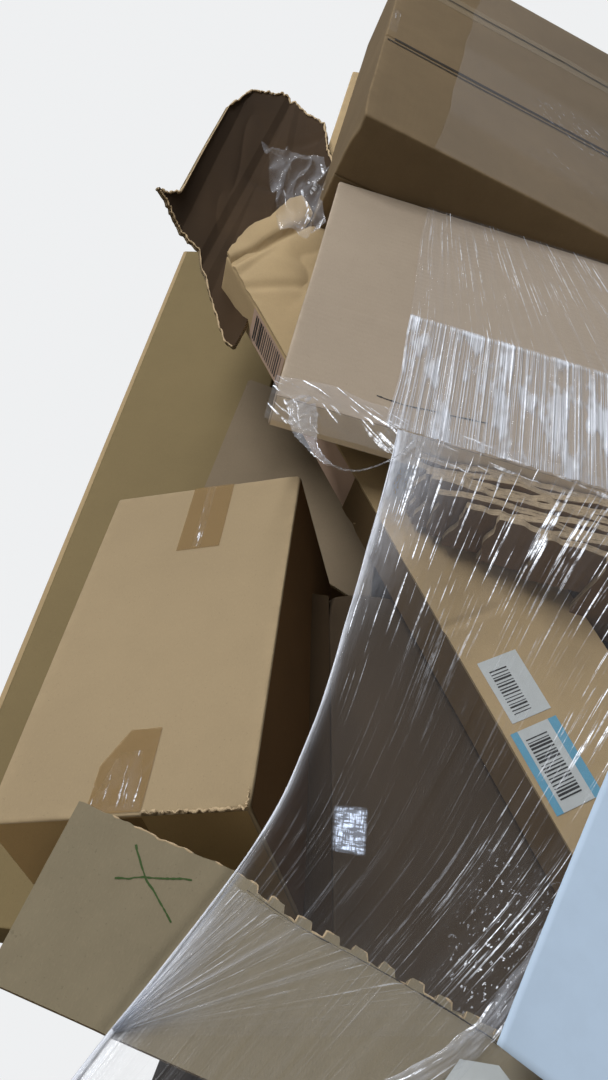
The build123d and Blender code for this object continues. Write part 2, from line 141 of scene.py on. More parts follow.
def sheet_piece(name, points, material, uv=None, dense=0.0, thickness=0.0, weight=1.0):
    """A piece from a grid of points with the shape rows, columns, 3."""
    rows, columns = points.shape[:2]
    uv = None if uv is None else uv.reshape(-1, 2)
    dense = np.broadcast_to(dense, (rows, columns)).ravel()
    weight = np.broadcast_to(weight, (rows, columns)).ravel()
    faces = grid_faces(rows, columns)
    piece = new_mesh(name, points.reshape(-1, 3), faces, material, uv, dense, weight=weight)
    if thickness:
        thicken(piece, thickness)
    return piece


def tube(name, line, radius, material, sides=6, dense=1.0):
    """A round rope of film or board along a line of points, with a radius for each point."""
    line = np.asarray(line, float)
    radius = np.broadcast_to(radius, len(line))
    along = np.gradient(line, axis=0)
    along /= np.linalg.norm(along, axis=1, keepdims=True)
    side = np.cross(along, (0.1, 1.0, 0.2))
    side /= np.linalg.norm(side, axis=1, keepdims=True)
    up = np.cross(along, side)
    turn = np.linspace(0, 2 * math.pi, sides, endpoint=False)
    ring = np.cos(turn)[None, :, None] * side[:, None, :] + np.sin(turn)[None, :, None] * up[:, None, :]
    points = line[:, None, :] + ring * radius[:, None, None]
    count = len(line)
    faces = []
    for low in range(0, (count - 1) * sides, sides):
        for j in range(sides):
            k = (j + 1) % sides
            faces.append((low + j, low + k, low + sides + k, low + sides + j))
    faces.append(tuple(range(sides))[::-1])
    faces.append(tuple((count - 1) * sides + j for j in range(sides)))
    length = np.concatenate([[0], np.cumsum(np.linalg.norm(np.diff(line, axis=0), axis=1))])
    uv = join(turn / 40, length[:, None])
    return new_mesh(name, points.reshape(-1, 3), faces, material, uv.reshape(-1, 2), dense)


# Places read from the frame


class Box:
    """The frame of a box shaped node: its lowest corner, its axes and its size."""

    def __init__(self, node, like=None):
        """The axes are those of the largest faces, or of the box that like names."""
        mesh = nodes[node].data
        normals = np.array([p.normal for p in mesh.polygons])
        areas = np.array([p.area for p in mesh.polygons])
        found = []
        for i in np.argsort(-areas):
            n = normals[i]
            if all(abs(n @ m) < 0.2 for m in found):
                found.append(n)
            if len(found) == 3:
                break
        if len(found) == 2:
            third = np.cross(found[0], found[1])
            found.append(third / np.linalg.norm(third))
        found.sort(key=lambda n: abs(n[2]))
        z = found[2] * np.sign(found[2][2])
        pair = sorted(found[:2], key=lambda n: -abs(n[0]))
        x = pair[0] * np.sign(pair[0][0])
        y = np.cross(z, x)
        self.axes = np.array([x, y, z]) if like is None else like.axes
        points = np.array([v.co for v in mesh.vertices]) @ self.axes.T
        self.low = points.min(0)
        self.size = points.max(0) - self.low
        self.relief = lambda axis, side, a, b: np.zeros_like(a)

    def at(self, points):
        """Points of the box's own frame, from its front left bottom corner, in the load's frame."""
        return (np.asarray(points, float) + self.low) @ self.axes


# Materials


class Paint:
    """A material being made: its node tree, its shader and the places on the piece."""

    def __init__(self, name):
        self.material = bpy.data.materials.new(name)
        self.material.use_nodes = True
        self.tree = self.material.node_tree
        self.shader = self.tree.nodes["Principled BSDF"]
        places = self.node("TexCoord")
        self.place = places.outputs["Object"]
        self.panel = places.outputs["UV"]

    def put(self, socket, value):
        """Gives a socket a number or a colour, or links an output to it."""
        if isinstance(value, (int, float, tuple)):
            socket.default_value = value
        else:
            self.tree.links.new(value, socket)

    def node(self, kind, **inputs):
        """A new shader node and its inputs, with _ for each space in their names."""
        made = self.tree.nodes.new("ShaderNode" + kind)
        for label, value in inputs.items():
            self.put(made.inputs[label.replace("_", " ")], value)
        return made

    def finish(self, **inputs):
        """Sets inputs of the shader, with _ for each space in their names."""
        for label, value in inputs.items():
            self.put(self.shader.inputs[label.replace("_", " ")], value)

    def math(self, operation, a, b=None, clamp=False):
        made = self.tree.nodes.new("ShaderNodeMath")
        made.operation = operation
        made.use_clamp = clamp
        for socket, value in zip(made.inputs, (a, b)):
            if value is not None:
                self.put(socket, value)
        return made.outputs[0]

    def times(self, a, b, clamp=False):
        return self.math("MULTIPLY", a, b, clamp)

    def plus(self, a, b):
        return self.math("ADD", a, b)

    def larger(self, a, b):
        return self.math("MAXIMUM", a, b)

    def apart(self, a, b):
        return self.math("ABSOLUTE", self.math("SUBTRACT", a, b))

    def noise(self, vector, scale, detail=2.0, roughness=0.5):
        made = self.node("TexNoise", Vector=vector, Scale=scale, Detail=detail, Roughness=roughness)
        return made.outputs["Fac"]

    def stretched(self, vector, scale, detail=2.0, roughness=0.5):
        """Noise with its own scale along each axis."""
        moved = self.node("Mapping", Vector=vector, Scale=scale).outputs["Vector"]
        return self.noise(moved, 1.0, detail, roughness)

    def threads(self, across, along, detail=2.0, roughness=0.5):
        """Noise stretched over the panel."""
        return self.stretched(self.panel, (across, along, 1.0), detail, roughness)

    def ramp(self, value, low, high):
        return self.node("MapRange", Value=value, From_Min=low, From_Max=high).outputs["Result"]

    def mix(self, factor, a, b):
        made = self.tree.nodes.new("ShaderNodeMix")
        made.data_type = "RGBA"
        for index, value in ((0, factor), (6, a), (7, b)):
            self.put(made.inputs[index], value)
        return made.outputs[2]

    def bump(self, height, strength, distance, after=None):
        made = self.node("Bump", Height=height, Strength=strength, Distance=distance)
        if after is not None:
            self.put(made.inputs["Normal"], after)
        self.finish(Normal=made.outputs["Normal"])
        return made.outputs["Normal"]

    def attribute(self, label):
        made = self.tree.nodes.new("ShaderNodeAttribute")
        made.attribute_name = label
        return made.outputs["Fac"]


def shade(colour, factor):
    """A linear colour made darker or lighter."""
    return (*(min(1.0, part * factor) for part in colour[:3]), 1.0)


FLUTE = 7.2 * MM
WAVE_SCALE = 2 / (FLUTE * 6.2832)


def board(name, colour, deep=0.78, lines=0.05, blotch=0.35, bands="X"):
    """Corrugated board: paper fibre, blotches, the faint lines of the flutes and worn edges.

    deep is the factor of the darker clouds, lines the strength of the flutes and bands their direction.
    """
    paint = Paint(name)
    place = paint.place
    base = linear(*colour)
    tone = paint.mix(paint.ramp(paint.noise(place, 5.0, 4.0, 0.6), 0.35, 0.75), base, shade(base, deep))
    cloud = paint.noise(place, 38.0, 5.0, 0.65)
    tone = paint.mix(paint.times(paint.ramp(cloud, 0.45, 0.8), blotch), tone, shade(base, 0.72))
    fibre = paint.stretched(paint.panel, (900.0, 260.0, 900.0), 3.0, 0.7)
    tone = paint.mix(paint.times(paint.ramp(fibre, 0.5, 0.85), 0.30), tone, shade(base, 1.35))
    specks = paint.noise(place, 620.0)
    tone = paint.mix(paint.times(paint.ramp(specks, 0.66, 0.74), 0.35), tone, shade(base, 0.5))
    wave = paint.node("TexWave", Vector=paint.panel, Scale=WAVE_SCALE, Distortion=0.4, Detail=1.0)
    wave.wave_type = "BANDS"
    wave.bands_direction = bands
    flutes = paint.times(wave.outputs["Fac"], paint.ramp(paint.noise(place, 9.0), 0.35, 0.7))
    tone = paint.mix(paint.times(flutes, lines * 4), tone, shade(base, deep))
    wear = paint.times(paint.attribute("dense"), paint.ramp(paint.noise(place, 70.0, 4.0), 0.35, 0.7))
    tone = paint.mix(paint.times(wear, 0.55), tone, shade(base, 1.5))
    paint.finish(Base_Color=tone, Roughness=0.9, Specular_IOR_Level=0.25)
    relief = paint.bump(flutes, lines * 4, 0.6 * MM)
    paint.bump(paint.plus(fibre, cloud), 0.25, 0.6 * MM, relief)
    return paint.material


def cut_edge(name, colour, layers=2, depth=0.16):
    """The cut edge of board, with its flutes. Across the edge the panel place runs 0 to 1."""
    paint = Paint(name)
    base = linear(*colour)
    split = paint.node("SeparateXYZ", Vector=paint.panel)
    along = paint.plus(split.outputs[0], paint.times(paint.noise(paint.place, 60.0), 0.004))
    turn = paint.math("SINE", paint.times(along, 2 * math.pi / FLUTE))
    across = paint.math("FRACT", paint.times(split.outputs[1], layers))
    line = paint.plus(paint.times(turn, 0.36), 0.5)
    medium = paint.ramp(paint.apart(across, line), 0.26, 0.12)
    liner = paint.ramp(paint.apart(across, 0.5), 0.36, 0.44)
    frayed = paint.ramp(paint.noise(paint.place, 150.0, 3.0), 0.55, 0.65)
    solid = paint.larger(paint.larger(medium, liner), frayed)
    # Between the flutes and liners the colour is darkened by depth: painted shade in the hollows of the cut
    # edge
    tone = paint.mix(solid, shade(base, depth), base)
    paint.finish(Base_Color=tone, Roughness=0.95, Specular_IOR_Level=0.1)
    paint.bump(solid, 0.8, 1.5 * MM)
    return paint.material


def torn_edge(name, colour):
    """The edge of a torn sheet: pulped layers, with painted shade in the thin gaps between them."""
    paint = Paint(name)
    base = linear(*colour)
    layers = paint.threads(26.0, 3.6, 3.0, 0.65)
    pulp = paint.noise(paint.place, 260.0, 4.0, 0.7)
    tone = paint.mix(paint.times(paint.ramp(pulp, 0.42, 0.7), 0.55), base, shade(base, 0.5))
    tone = paint.mix(paint.times(paint.ramp(layers, 0.58, 0.64), 0.8), tone, shade(base, 0.2))
    paint.finish(Base_Color=tone, Roughness=0.95, Specular_IOR_Level=0.1)
    paint.bump(paint.plus(layers, pulp), 0.8, 2 * MM)
    return paint.material


def glare(name):
    """A lamp mirrored by crossed creases of the film."""
    paint = Paint(name)
    level_lines = paint.ramp(paint.threads(2.2, 13.0, 3.0, 0.6), 0.44, 0.56)
    upright_lines = paint.ramp(paint.threads(24.0, 4.0, 2.0, 0.6), 0.36, 0.60)
    body = paint.plus(paint.times(paint.times(level_lines, upright_lines), 0.85), 0.16)
    paint.finish(Alpha=paint.times(body, paint.attribute("dense")), Base_Color=linear(214, 226, 246),
                 Emission_Color=linear(206, 222, 250), Emission_Strength=0.7, Roughness=0.2)
    return paint.material


EDGE_ON_PART = 0.06
MOST_ALPHA = 0.96


def film(name, clear, streak, fine, run, low, high, veil_part, packed=0.0, glow=0.0, open_low=0.36,
         open_high=0.55, rough=0.14):
    """Stretch film: clear between its creases, milky along them, with painted highlights that make its lines
    bright.

    clear is the film's least cover, streak that of its lines, and fine and run their scales across and along.
    The lines show where their noise lies between low and high. packed fills a dense film with patches.
    """
    paint = Paint(name)
    weight = paint.attribute("weight")
    thin = paint.threads(fine, run, 2.0, 0.6)
    broad = paint.threads(fine * 0.22, run * 0.6, 3.0, 0.6)
    groups = paint.ramp(paint.threads(26.0, 7.0), open_low, open_high)
    dashes = paint.ramp(paint.threads(fine * 0.4, run * 6), 0.36, 0.50)
    sparks = paint.ramp(paint.threads(fine * 1.1, run * 26, 2.0, 0.7), 0.36, 0.52)
    lines = paint.times(paint.times(paint.ramp(thin, low, high), groups), dashes)
    lines = paint.times(lines, paint.plus(paint.times(sparks, 0.65), 0.35))
    lines = paint.times(lines, weight)
    veil = paint.times(paint.ramp(broad, 0.46, 0.80), veil_part)
    veil = paint.times(veil, paint.math("MINIMUM", weight, 1.0))
    if packed:
        patches = paint.ramp(paint.threads(34.0, 9.0, 3.0, 0.6), 0.50, 0.58)
        fibres = paint.ramp(thin, 0.47, 0.60)
        body = paint.plus(paint.plus(paint.times(fibres, 0.55), paint.times(patches, packed)), 0.10)
    else:
        broken = paint.ramp(paint.threads(fine * 0.5, run * 5, 3.0, 0.7), 0.38, 0.60)
        body = paint.plus(paint.times(broken, 0.4), 0.6)
    solid = paint.times(paint.attribute("dense"), body)
    alpha = paint.larger(paint.plus(paint.times(lines, streak), veil), solid)
    facing = paint.node("LayerWeight", Blend=0.25).outputs["Facing"]
    alpha = paint.plus(paint.plus(alpha, clear), paint.times(facing, EDGE_ON_PART))
    # The lines are painted highlights: white cover and an emission glow scaled by glow, standing for lamps
    # mirrored in the creases
    paint.finish(Alpha=paint.math("MINIMUM", alpha, MOST_ALPHA), Base_Color=linear(230, 236, 248),
                 Emission_Color=(0.93, 0.96, 1.0, 1.0), Emission_Strength=paint.times(lines, glow),
                 Roughness=rough, Specular_IOR_Level=0.8)
    paint.bump(paint.plus(thin, broad), 0.5, 2 * MM)
    return paint.material


def plain(name, colour, rough=0.6, grain=300.0, amount=0.15, alpha=1.0, bump=0.1):
    """Ink, paper, label or tape: an even colour with a little grain."""
    paint = Paint(name)
    base = linear(*colour)
    speck = paint.noise(paint.place, grain, 3.0, 0.6)
    factor = paint.times(paint.ramp(speck, 0.4, 0.75), amount * 4, clamp=True)
    paint.finish(Base_Color=paint.mix(factor, base, shade(base, 0.8)), Roughness=rough, Alpha=alpha)
    paint.bump(speck, bump, 0.8 * MM)
    return paint.material


def timber(name, colour):
    """Sawn pallet wood with its grain along the board and grey weathering."""
    paint = Paint(name)
    base = linear(*colour)
    rings = paint.stretched(paint.place, (70.0, 5.0, 110.0), 5.0, 0.6)
    weather = paint.stretched(paint.place, (6.0, 6.0, 90.0), 4.0, 0.6)
    tone = paint.mix(paint.ramp(rings, 0.35, 0.7), base, shade(base, 0.5))
    tone = paint.mix(paint.times(paint.ramp(weather, 0.4, 0.8), 0.5), tone, linear(128, 122, 112))
    paint.finish(Base_Color=tone, Roughness=0.85)
    paint.bump(rings, 0.5, 1 * MM)
    return paint.material


yellow = board("yellow_board", (157, 139, 110), 0.9, 0.006, 0.13)
olive = board("olive_board", (126, 111, 79), 0.9, 0.006, 0.12)
grey = board("grey_board", (136, 126, 104), 0.88, 0.02, 0.3)
wide_board = board("wide_board", (165, 151, 134), 0.9, 0.05, 0.2, "Y")
top_board = board("top_board", (118, 101, 76), 0.8, 0.02, 0.4)
panel_board = board("panel_board", (131, 117, 97), 0.88, 0.02, 0.3)
light = board("light_board", (176, 154, 118), 0.86, 0.01, 0.35)
brown = board("brown_board", (150, 130, 100), 0.84, 0.02, 0.35)
rear_board = board("rear_board", (138, 116, 84), 0.84, 0.02, 0.35)
# dark_board: the dark carton's board, made dark partly as painted shade for its place inside the load
dark = board("dark_board", (72, 60, 46), 0.84, 0.01, 0.3)
# shaded_flap_board: near-black board, painted shade for the gap left of the dark carton
shaded_flap_board = board("shaded_flap_board", (66, 52, 35), 0.84, 0.01, 0.3)
# lit_under_yellow: the yellow board lightened, painted light for the taped carton's underside
lit_under_yellow = board("lit_under_yellow", (196, 168, 122), 0.9, 0.01, 0.2)
# shaded_side_yellow: the yellow board darkened, painted shade for the taped carton's right side
shaded_side_yellow = board("shaded_side_yellow", (112, 84, 52), 0.7, 0.01, 0.2)
# shaded_side_board: darker board, painted shade for the long carton's downward-facing side band
shaded_side_board = board("shaded_side_board", (112, 92, 64), 0.84, 0.02, 0.3)
# lit_under_board: very light board, painted light for the wide carton's underside
lit_under_board = board("lit_under_board", (238, 222, 198), 0.9, 0.02, 0.2)
# inner: the inside of the open flaps, its board darkened as painted shade of the hollow
inner = board("inner_shade_board", (64, 48, 31), 0.55, 0.08, 0.6)
sheet_board = board("sheet_board", (200, 178, 150), 0.7, 0.09, 0.6)
# shaded_under_sheet: darker board, painted shade for the undersides of the stacked sheets
shaded_under_sheet = board("shaded_under_sheet", (140, 116, 90), 0.7, 0.09, 0.6)
edge_light = cut_edge("light_edge", (178, 158, 126))
edge_grey = cut_edge("grey_edge", (166, 150, 122), 2, 0.45)
edge_sheet = torn_edge("sheet_edge", (164, 147, 122))
clear_film = film("clear_film", clear=0.02, streak=0.95, fine=900.0, run=6.5, low=0.585, high=0.63,
                  veil_part=0.03, glow=0.8, open_low=0.32, open_high=0.5)
pleat_film = film("pleat_film", clear=0.02, streak=0.8, fine=330.0, run=9.0, low=0.58, high=0.66,
                  veil_part=0.16, glow=0.35)
crinkled_film = film("crinkled_film", clear=0.04, streak=0.95, fine=250.0, run=15.0, low=0.59, high=0.64,
                     veil_part=0.12, glow=0.9, open_low=0.30, open_high=0.45)
wad_film = film("wad_film", clear=0.06, streak=0.9, fine=70.0, run=34.0, low=0.60, high=0.64, veil_part=0.30,
                glow=0.7)
tape_film = film("tape_film", clear=0.0, streak=0.9, fine=380.0, run=26.0, low=0.60, high=0.66,
                 veil_part=0.05, glow=0.6, open_low=0.34, open_high=0.5)
sparkle_film = film("sparkle_film", clear=0.0, streak=0.9, fine=420.0, run=240.0, low=0.61, high=0.66,
                    veil_part=0.03, glow=0.8, open_low=0.3, open_high=0.5)
rope_film = film("rope_film", clear=0.30, streak=0.6, fine=300.0, run=30.0, low=0.4, high=0.55, veil_part=0.2,
                 glow=0.4)
band_material = film("band_film", clear=0.03, streak=0.8, fine=760.0, run=5.0, low=0.60, high=0.66,
                     veil_part=0.08, packed=0.5, glow=0.7)
top_material = film("top_film", clear=0.02, streak=0.8, fine=620.0, run=60.0, low=0.625, high=0.68,
                    veil_part=0.02, glow=0.5, open_low=0.52, open_high=0.64, rough=0.5)
back_film = film("back_film", clear=0.06, streak=0.55, fine=160.0, run=4.0, low=0.58, high=0.70,
                 veil_part=0.22)
glare_film = glare("glare_film")
amber_tape = plain("amber_tape", (148, 118, 72), 0.22, 90.0, 0.12, 0.5, 0.3)
clear_tape = plain("clear_tape", (190, 176, 150), 0.15, 60.0, 0.2, 0.22, 0.6)
# pink_label_and_lit_band: the pink label on the long carton's side, and also painted light on the upper part
# of that side band
pink_label_and_lit_band = plain("pink_label_and_lit_band", (186, 160, 142), 0.8, 60.0, 0.1)
paper_white = plain("white_paper", (182, 203, 226), 0.7, 60.0, 0.05)
label_white = plain("white_label", (190, 196, 198), 0.45, 120.0, 0.08)
label_blue = plain("blue_label", (98, 160, 190), 0.45, 120.0, 0.08)
print_black = plain("black_print", (44, 44, 46), 0.6, 200.0, 0.1)
# brown_line_and_shade: dark brown for the tray's cut line, and painted shade in the gap and seam of the top
# cartons
brown_line_and_shade = plain("brown_lines_and_painted_shade", (44, 36, 26), 0.8, 200.0, 0.1)
green_ink = plain("green_ink", (50, 78, 24), 0.7, 700.0, 0.25)
rim_board = plain("rim_board", (190, 168, 134), 0.9, 500.0, 0.3, 1.0, 0.6)
wood = timber("pallet_wood", (170, 138, 96))

# Cartons


CARTON_RADIUS = 3 * MM
DENT = 1.2 * MM
SLIT = 1 * MM
SLIT_DEPTH = 3 * MM


def carton_lines(length, step, extra=()):
    """Places of the grid lines along one side, closer together at the rounded edges."""
    inner_count = max(2, int((length - 2 * CARTON_RADIUS) / step))
    middle = np.linspace(CARTON_RADIUS, length - CARTON_RADIUS, inner_count + 1)
    ends = np.array([0.0, 0.3, 0.65]) * CARTON_RADIUS
    lines = np.concatenate([ends, middle, length - ends[::-1], np.asarray(extra, float)])
    return np.unique(np.round(lines, 7))


def carton(node, material, seed, step=14 * MM, bulge=1.5 * MM, crush=(), shape=None, creases=None):
    """A carton in a node's place: rounded edges, bowed panels, small dents and the slit of its flaps.

    crush holds corners to push in: its place in parts of the size, the reach and the depth.
    shape may move the points of the box's own frame further.
    """
    box = Box(node)
    size = box.size
    half = size[1] / 2

    def relief(axis, side, a, b):
        others = [n for n in range(3) if n != axis]
        part_a = a / size[others[0]]
        part_b = b / size[others[1]]
        swell = np.clip((1 - (2 * part_a - 1) ** 2) * (1 - (2 * part_b - 1) ** 2), 0, 1)
        lump = noise2(a * 9, b * 9, seed + axis * 2 + side) + 0.5 * noise2(a * 24, b * 24, seed + 7 + axis)
        bow = bulge * swell * (0.4 + 0.6 * noise2(seed * 0.7, axis + side * 3.1, 5))
        out = bow - DENT * (0.5 + 0.5 * lump) * np.sqrt(np.clip(swell * 3, 0, 1))
        if creases is not None:
            out = out + creases(axis, side, a, b)
        return out

    box.relief = relief
    slits = (half - 2 * SLIT, half - SLIT, half, half + SLIT, half + 2 * SLIT)
    lines = [carton_lines(size[axis], step, slits if axis == 1 else ()) for axis in range(3)]
    verts, faces, uvs, count = [], [], [], 0
    for axis in range(3):
        first, second = [a for a in range(3) if a != axis]
        u, v = np.meshgrid(lines[first], lines[second])
        for side in (0, 1):
            points = np.zeros((*u.shape, 3))
            points[..., first] = u
            points[..., second] = v
            points[..., axis] = side * size[axis]
            quads = grid_faces(*u.shape, start=count)
            flip = (side == 0) != (axis == 1)
            faces += [q[::-1] for q in quads] if flip else quads
            verts.append(points.reshape(-1, 3))
            uvs.append(join(u + axis * 0.37 + side * 0.11, v).reshape(-1, 2))
            count += u.size
    p = np.concatenate(verts)
    uv = np.concatenate(uvs)
    start = p.copy()
    middle = np.clip(p, CARTON_RADIUS, size - CARTON_RADIUS)
    away = p - middle
    length = np.linalg.norm(away, axis=1, keepdims=True)
    p = middle + away / np.maximum(length, 1e-9) * CARTON_RADIUS
    for axis in range(3):
        others = [a for a in range(3) if a != axis]
        for side in (0, 1):
            on = np.abs(start[:, axis] - side * size[axis]) < 1e-9
            sign = 2 * side - 1
            p[on, axis] += sign * relief(axis, side, start[on, others[0]], start[on, others[1]])
            if axis == 2:
                near = np.abs(start[on, 1] - half) < 0.6 * SLIT
                rows = np.flatnonzero(on)[near]
                p[rows, axis] -= sign * SLIT_DEPTH
    for corner, reach, depth in crush:
        centre = np.asarray(corner) * size
        gone = np.linalg.norm(start - centre, axis=1) / reach
        pull = np.clip(1 - gone, 0, 1) ** 1.5
        crumple = 1 + 0.5 * noise2(start[:, 0] * 60 + start[:, 2] * 40, start[:, 1] * 60, seed + 3)
        p += (size / 2 - centre) / np.linalg.norm(size / 2 - centre) * (depth * pull * crumple)[:, None]
    if shape is not None:
        p = shape(p, start, size)
    edge = np.sort(np.minimum(start, size - start), axis=1)[:, 1]
    worn = np.exp(-edge / (2.5 * MM))
    piece = new_mesh(node.replace("carton", "board_box"), box.at(p), faces, material, uv, worn)
    work = bmesh.new()
    work.from_mesh(piece.data)
    bmesh.ops.remove_doubles(work, verts=work.verts, dist=0.02 * MM)
    bmesh.ops.recalc_face_normals(work, faces=work.faces)
    work.to_mesh(piece.data)
    work.free()
    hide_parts(node)
    return box


FACES = {"front": (1, 0), "left": (0, 0), "bottom": (2, 0), "right": (0, 1), "back": (1, 1)}


def patch(name, box, a0, a1, b0, b1, material, lift=0.35 * MM, face="front", step=4 * MM, wrinkle=None,
          outline=None):
    """A thin layer on a face of a box, such as tape or a label."""
    axis, side = FACES[face]
    first, second = [n for n in range(3) if n != axis]
    rows = np.linspace(b0, b1, max(3, int((b1 - b0) / step)))
    columns = np.linspace(a0, a1, max(3, int((a1 - a0) / step)))
    b, a = lattice(rows, columns)
    if outline is not None:
        a, b = outline(a, b)
    out = box.relief(axis, side, a, b) + lift
    if wrinkle is not None:
        out = out + wrinkle(a, b)
    points = np.zeros((*a.shape, 3))
    points[..., first] = a
    points[..., second] = b
    points[..., axis] = box.size[axis] + out if side else -out
    sheet_piece(name, box.at(points), material, join(a, b))


def bars(name, box, a0, a1, b0, b1, count, seed, lift=0.5 * MM, face="front"):
    """Plain printed bars across a label."""
    axis, side = FACES[face]
    first, second = [n for n in range(3) if n != axis]
    random = np.random.RandomState(seed)
    pitch = (b1 - b0) / count
    verts, faces = [], []
    for number in range(count):
        low = b0 + pitch * number
        high = low + pitch * random.uniform(0.25, 0.75)
        for a, b in ((a0, low), (a1, low), (a1, high), (a0, high)):
            out = float(box.relief(axis, side, np.array(a), np.array(b))) + lift
            point = [0.0, 0.0, 0.0]
            point[first] = a
            point[second] = b
            point[axis] = box.size[axis] + out if side else -out
            verts.append(point)
        start = 4 * number
        faces.append((start, start + 1, start + 2, start + 3))
    new_mesh(name, box.at(verts), faces, print_black)


def board_piece(name, place, xs, lows, highs, thickness, rows, face, edge, relief=None, slide=None,
                plain_sides=False, under=None):
    """A piece of board between two outlines. place turns its own x, y (depth) and z into the load's frame."""
    xs, lows, highs = (np.asarray(values, float) for values in (xs, lows, highs))
    t = np.linspace(0, 1, rows)[None, :]
    x = np.repeat(xs[:, None], rows, axis=1)
    z = lows[:, None] + (highs - lows)[:, None] * t
    if slide is not None:
        x = x + slide(x, z)
    y = np.zeros_like(x) if relief is None else relief(x, z)
    front = join(x, y, z)
    back = join(x, y + thickness, z)
    length = np.concatenate([[0], np.cumsum(np.abs(np.diff(xs)) + np.abs(np.diff(highs)))])
    verts, uvs, faces, kinds, count = [], [], [], [], 0
    flat_uv = join(x, z)

    def add(grid, uv, kind, flip):
        nonlocal count
        quads = grid_faces(*grid.shape[:2], start=count)
        faces.extend([q[::-1] for q in quads] if flip else quads)
        kinds.extend([kind] * len(quads))
        verts.append(grid.reshape(-1, 3))
        uvs.append(uv.reshape(-1, 2))
        count += grid.shape[0] * grid.shape[1]

    add(front, flat_uv, 0, True)
    add(back, flat_uv + 0.31, 0 if under is None else 2, False)
    across = np.linspace(0, 1, 3)
    side_kind = 0 if plain_sides else 1
    borders = ((front[:, -1], back[:, -1], length, True, 1),
               (front[:, 0], back[:, 0], length, False, side_kind),
               (front[0], back[0], z[0], True, side_kind),
               (front[-1], back[-1], z[-1], False, side_kind))
    for one, two, run, flip, kind in borders:
        grid = one[:, None, :] + (two - one)[:, None, :] * across[None, :, None]
        add(grid, join(run[:, None], across[None, :]), kind, flip)
    p = np.concatenate(verts)
    piece = new_mesh(name, place(p), faces, face, np.concatenate(uvs))
    piece.data.materials.append(edge)
    if under is not None:
        piece.data.materials.append(under)
    piece.data.polygons.foreach_set("material_index", kinds)
    piece.data.update()
    return piece


def slab(name, box, low, high, material):
    """A plain block in a box's own frame."""
    corners = [(x, y, z) for x in (low[0], high[0]) for y in (low[1], high[1]) for z in (low[2], high[2])]
    faces = [(0, 1, 3, 2), (4, 6, 7, 5), (0, 4, 5, 1), (2, 3, 7, 6), (0, 2, 6, 4), (1, 5, 7, 3)]
    uv = [(c[0] + c[1], c[2]) for c in corners]
    return new_mesh(name, box.at(corners), faces, material, uv, smooth_shade=False)


def groove(value, centre, width, depth):
    return -depth * np.exp(-((value - centre) / width) ** 2)


def taped_creases(axis, side, a, b):
    if (axis, side) != (1, 0):
        return np.zeros_like(a)
    low = groove(a, 0.013 + b * 0.05, 1.6 * MM, 0.8 * MM) * smooth(0.16, 0.10, b)
    high = groove(a, 0.150 - b * 0.02, 2.0 * MM, 0.35 * MM) * smooth(0.14, 0.20, b)
    return low + high


def wide_creases(axis, side, a, b):
    if (axis, side) != (1, 0):
        return np.zeros_like(a)
    ripple = np.sin(b * 2 * math.pi / 0.0075 + noise2(a * 5, b * 9, 4)) * 0.28 * MM
    ripple = ripple * smooth(0.155, 0.12, b) * (0.6 + 0.4 * noise2(a * 12, b * 20, 8))
    score = groove(b, 0.147 - a * 0.06, 1.6 * MM, 0.9 * MM) * smooth(0.13, 0.05, a)
    bottom = -3 * MM * smooth(0.020, 0.0, b) * (0.6 + 0.5 * noise2(a * 30, 0.0, 3))
    return ripple + score + bottom


def long_creases(axis, side, a, b):
    if (axis, side) == (0, 0):
        return groove(b, 0.555 + a * 0.5, 3 * MM, 1.6 * MM) + groove(b, 0.70, 3 * MM, 1.0 * MM)
    return np.zeros_like(a)


taped = carton("taped_carton", yellow, 3, step=8 * MM, bulge=2.0 * MM, creases=taped_creases,
               crush=[((1, 0, 0), 26 * MM, 3.5 * MM), ((1, 0, 1), 12 * MM, 1.5 * MM)])
tall = carton("tall_carton", olive, 11, step=16 * MM)
wide = carton("wide_carton", wide_board, 21, step=4 * MM, bulge=0.2 * MM, creases=wide_creases)
carton("wide_neighbour", wide_board, 25, bulge=0.2 * MM)
lower_top = carton("top_carton_lower", top_board, 31, bulge=0.3 * MM, crush=[((0, 0, 0), 50 * MM, 7 * MM)])
upper_top = carton("top_carton_upper", top_board, 37, bulge=0.3 * MM)
behind = carton("dark_carton", dark, 47, crush=[((0, 0, 1), 34 * MM, 9 * MM)])
carton("narrow_carton", light, 51)
# A thin board in the gap left of the dark carton, coloured near black as painted shade of that gap
slab("shaded_side_flap", behind, (-0.050, 0.003, 0.0), (0.0005, 0.006, behind.size[2] - 0.006), shaded_flap_board)
for index, node in enumerate(("right_carton", "rear_right_carton", "top_right_carton")):
    carton(node, brown, 61 + 5 * index, step=30 * MM)

# Long carton: a box with its front face as a separate board, which goes on into the open flap
FRONT_BOARD = 3.6 * MM
RIM = np.array([(0.0, 921.0), (2, 922), (24, 945), (49, 964), (83, 982), (116, 1004), (134, 1009),
                (137.5, 1009)]) * MM


def behind_front(p, start, size):
    p[:, 1] += np.where(start[:, 1] < 4 * MM, FRONT_BOARD + 0.1 * MM, 0.0)
    return p


long = carton("long_carton", light, 41, step=9 * MM, bulge=0.3 * MM, shape=behind_front, creases=long_creases)


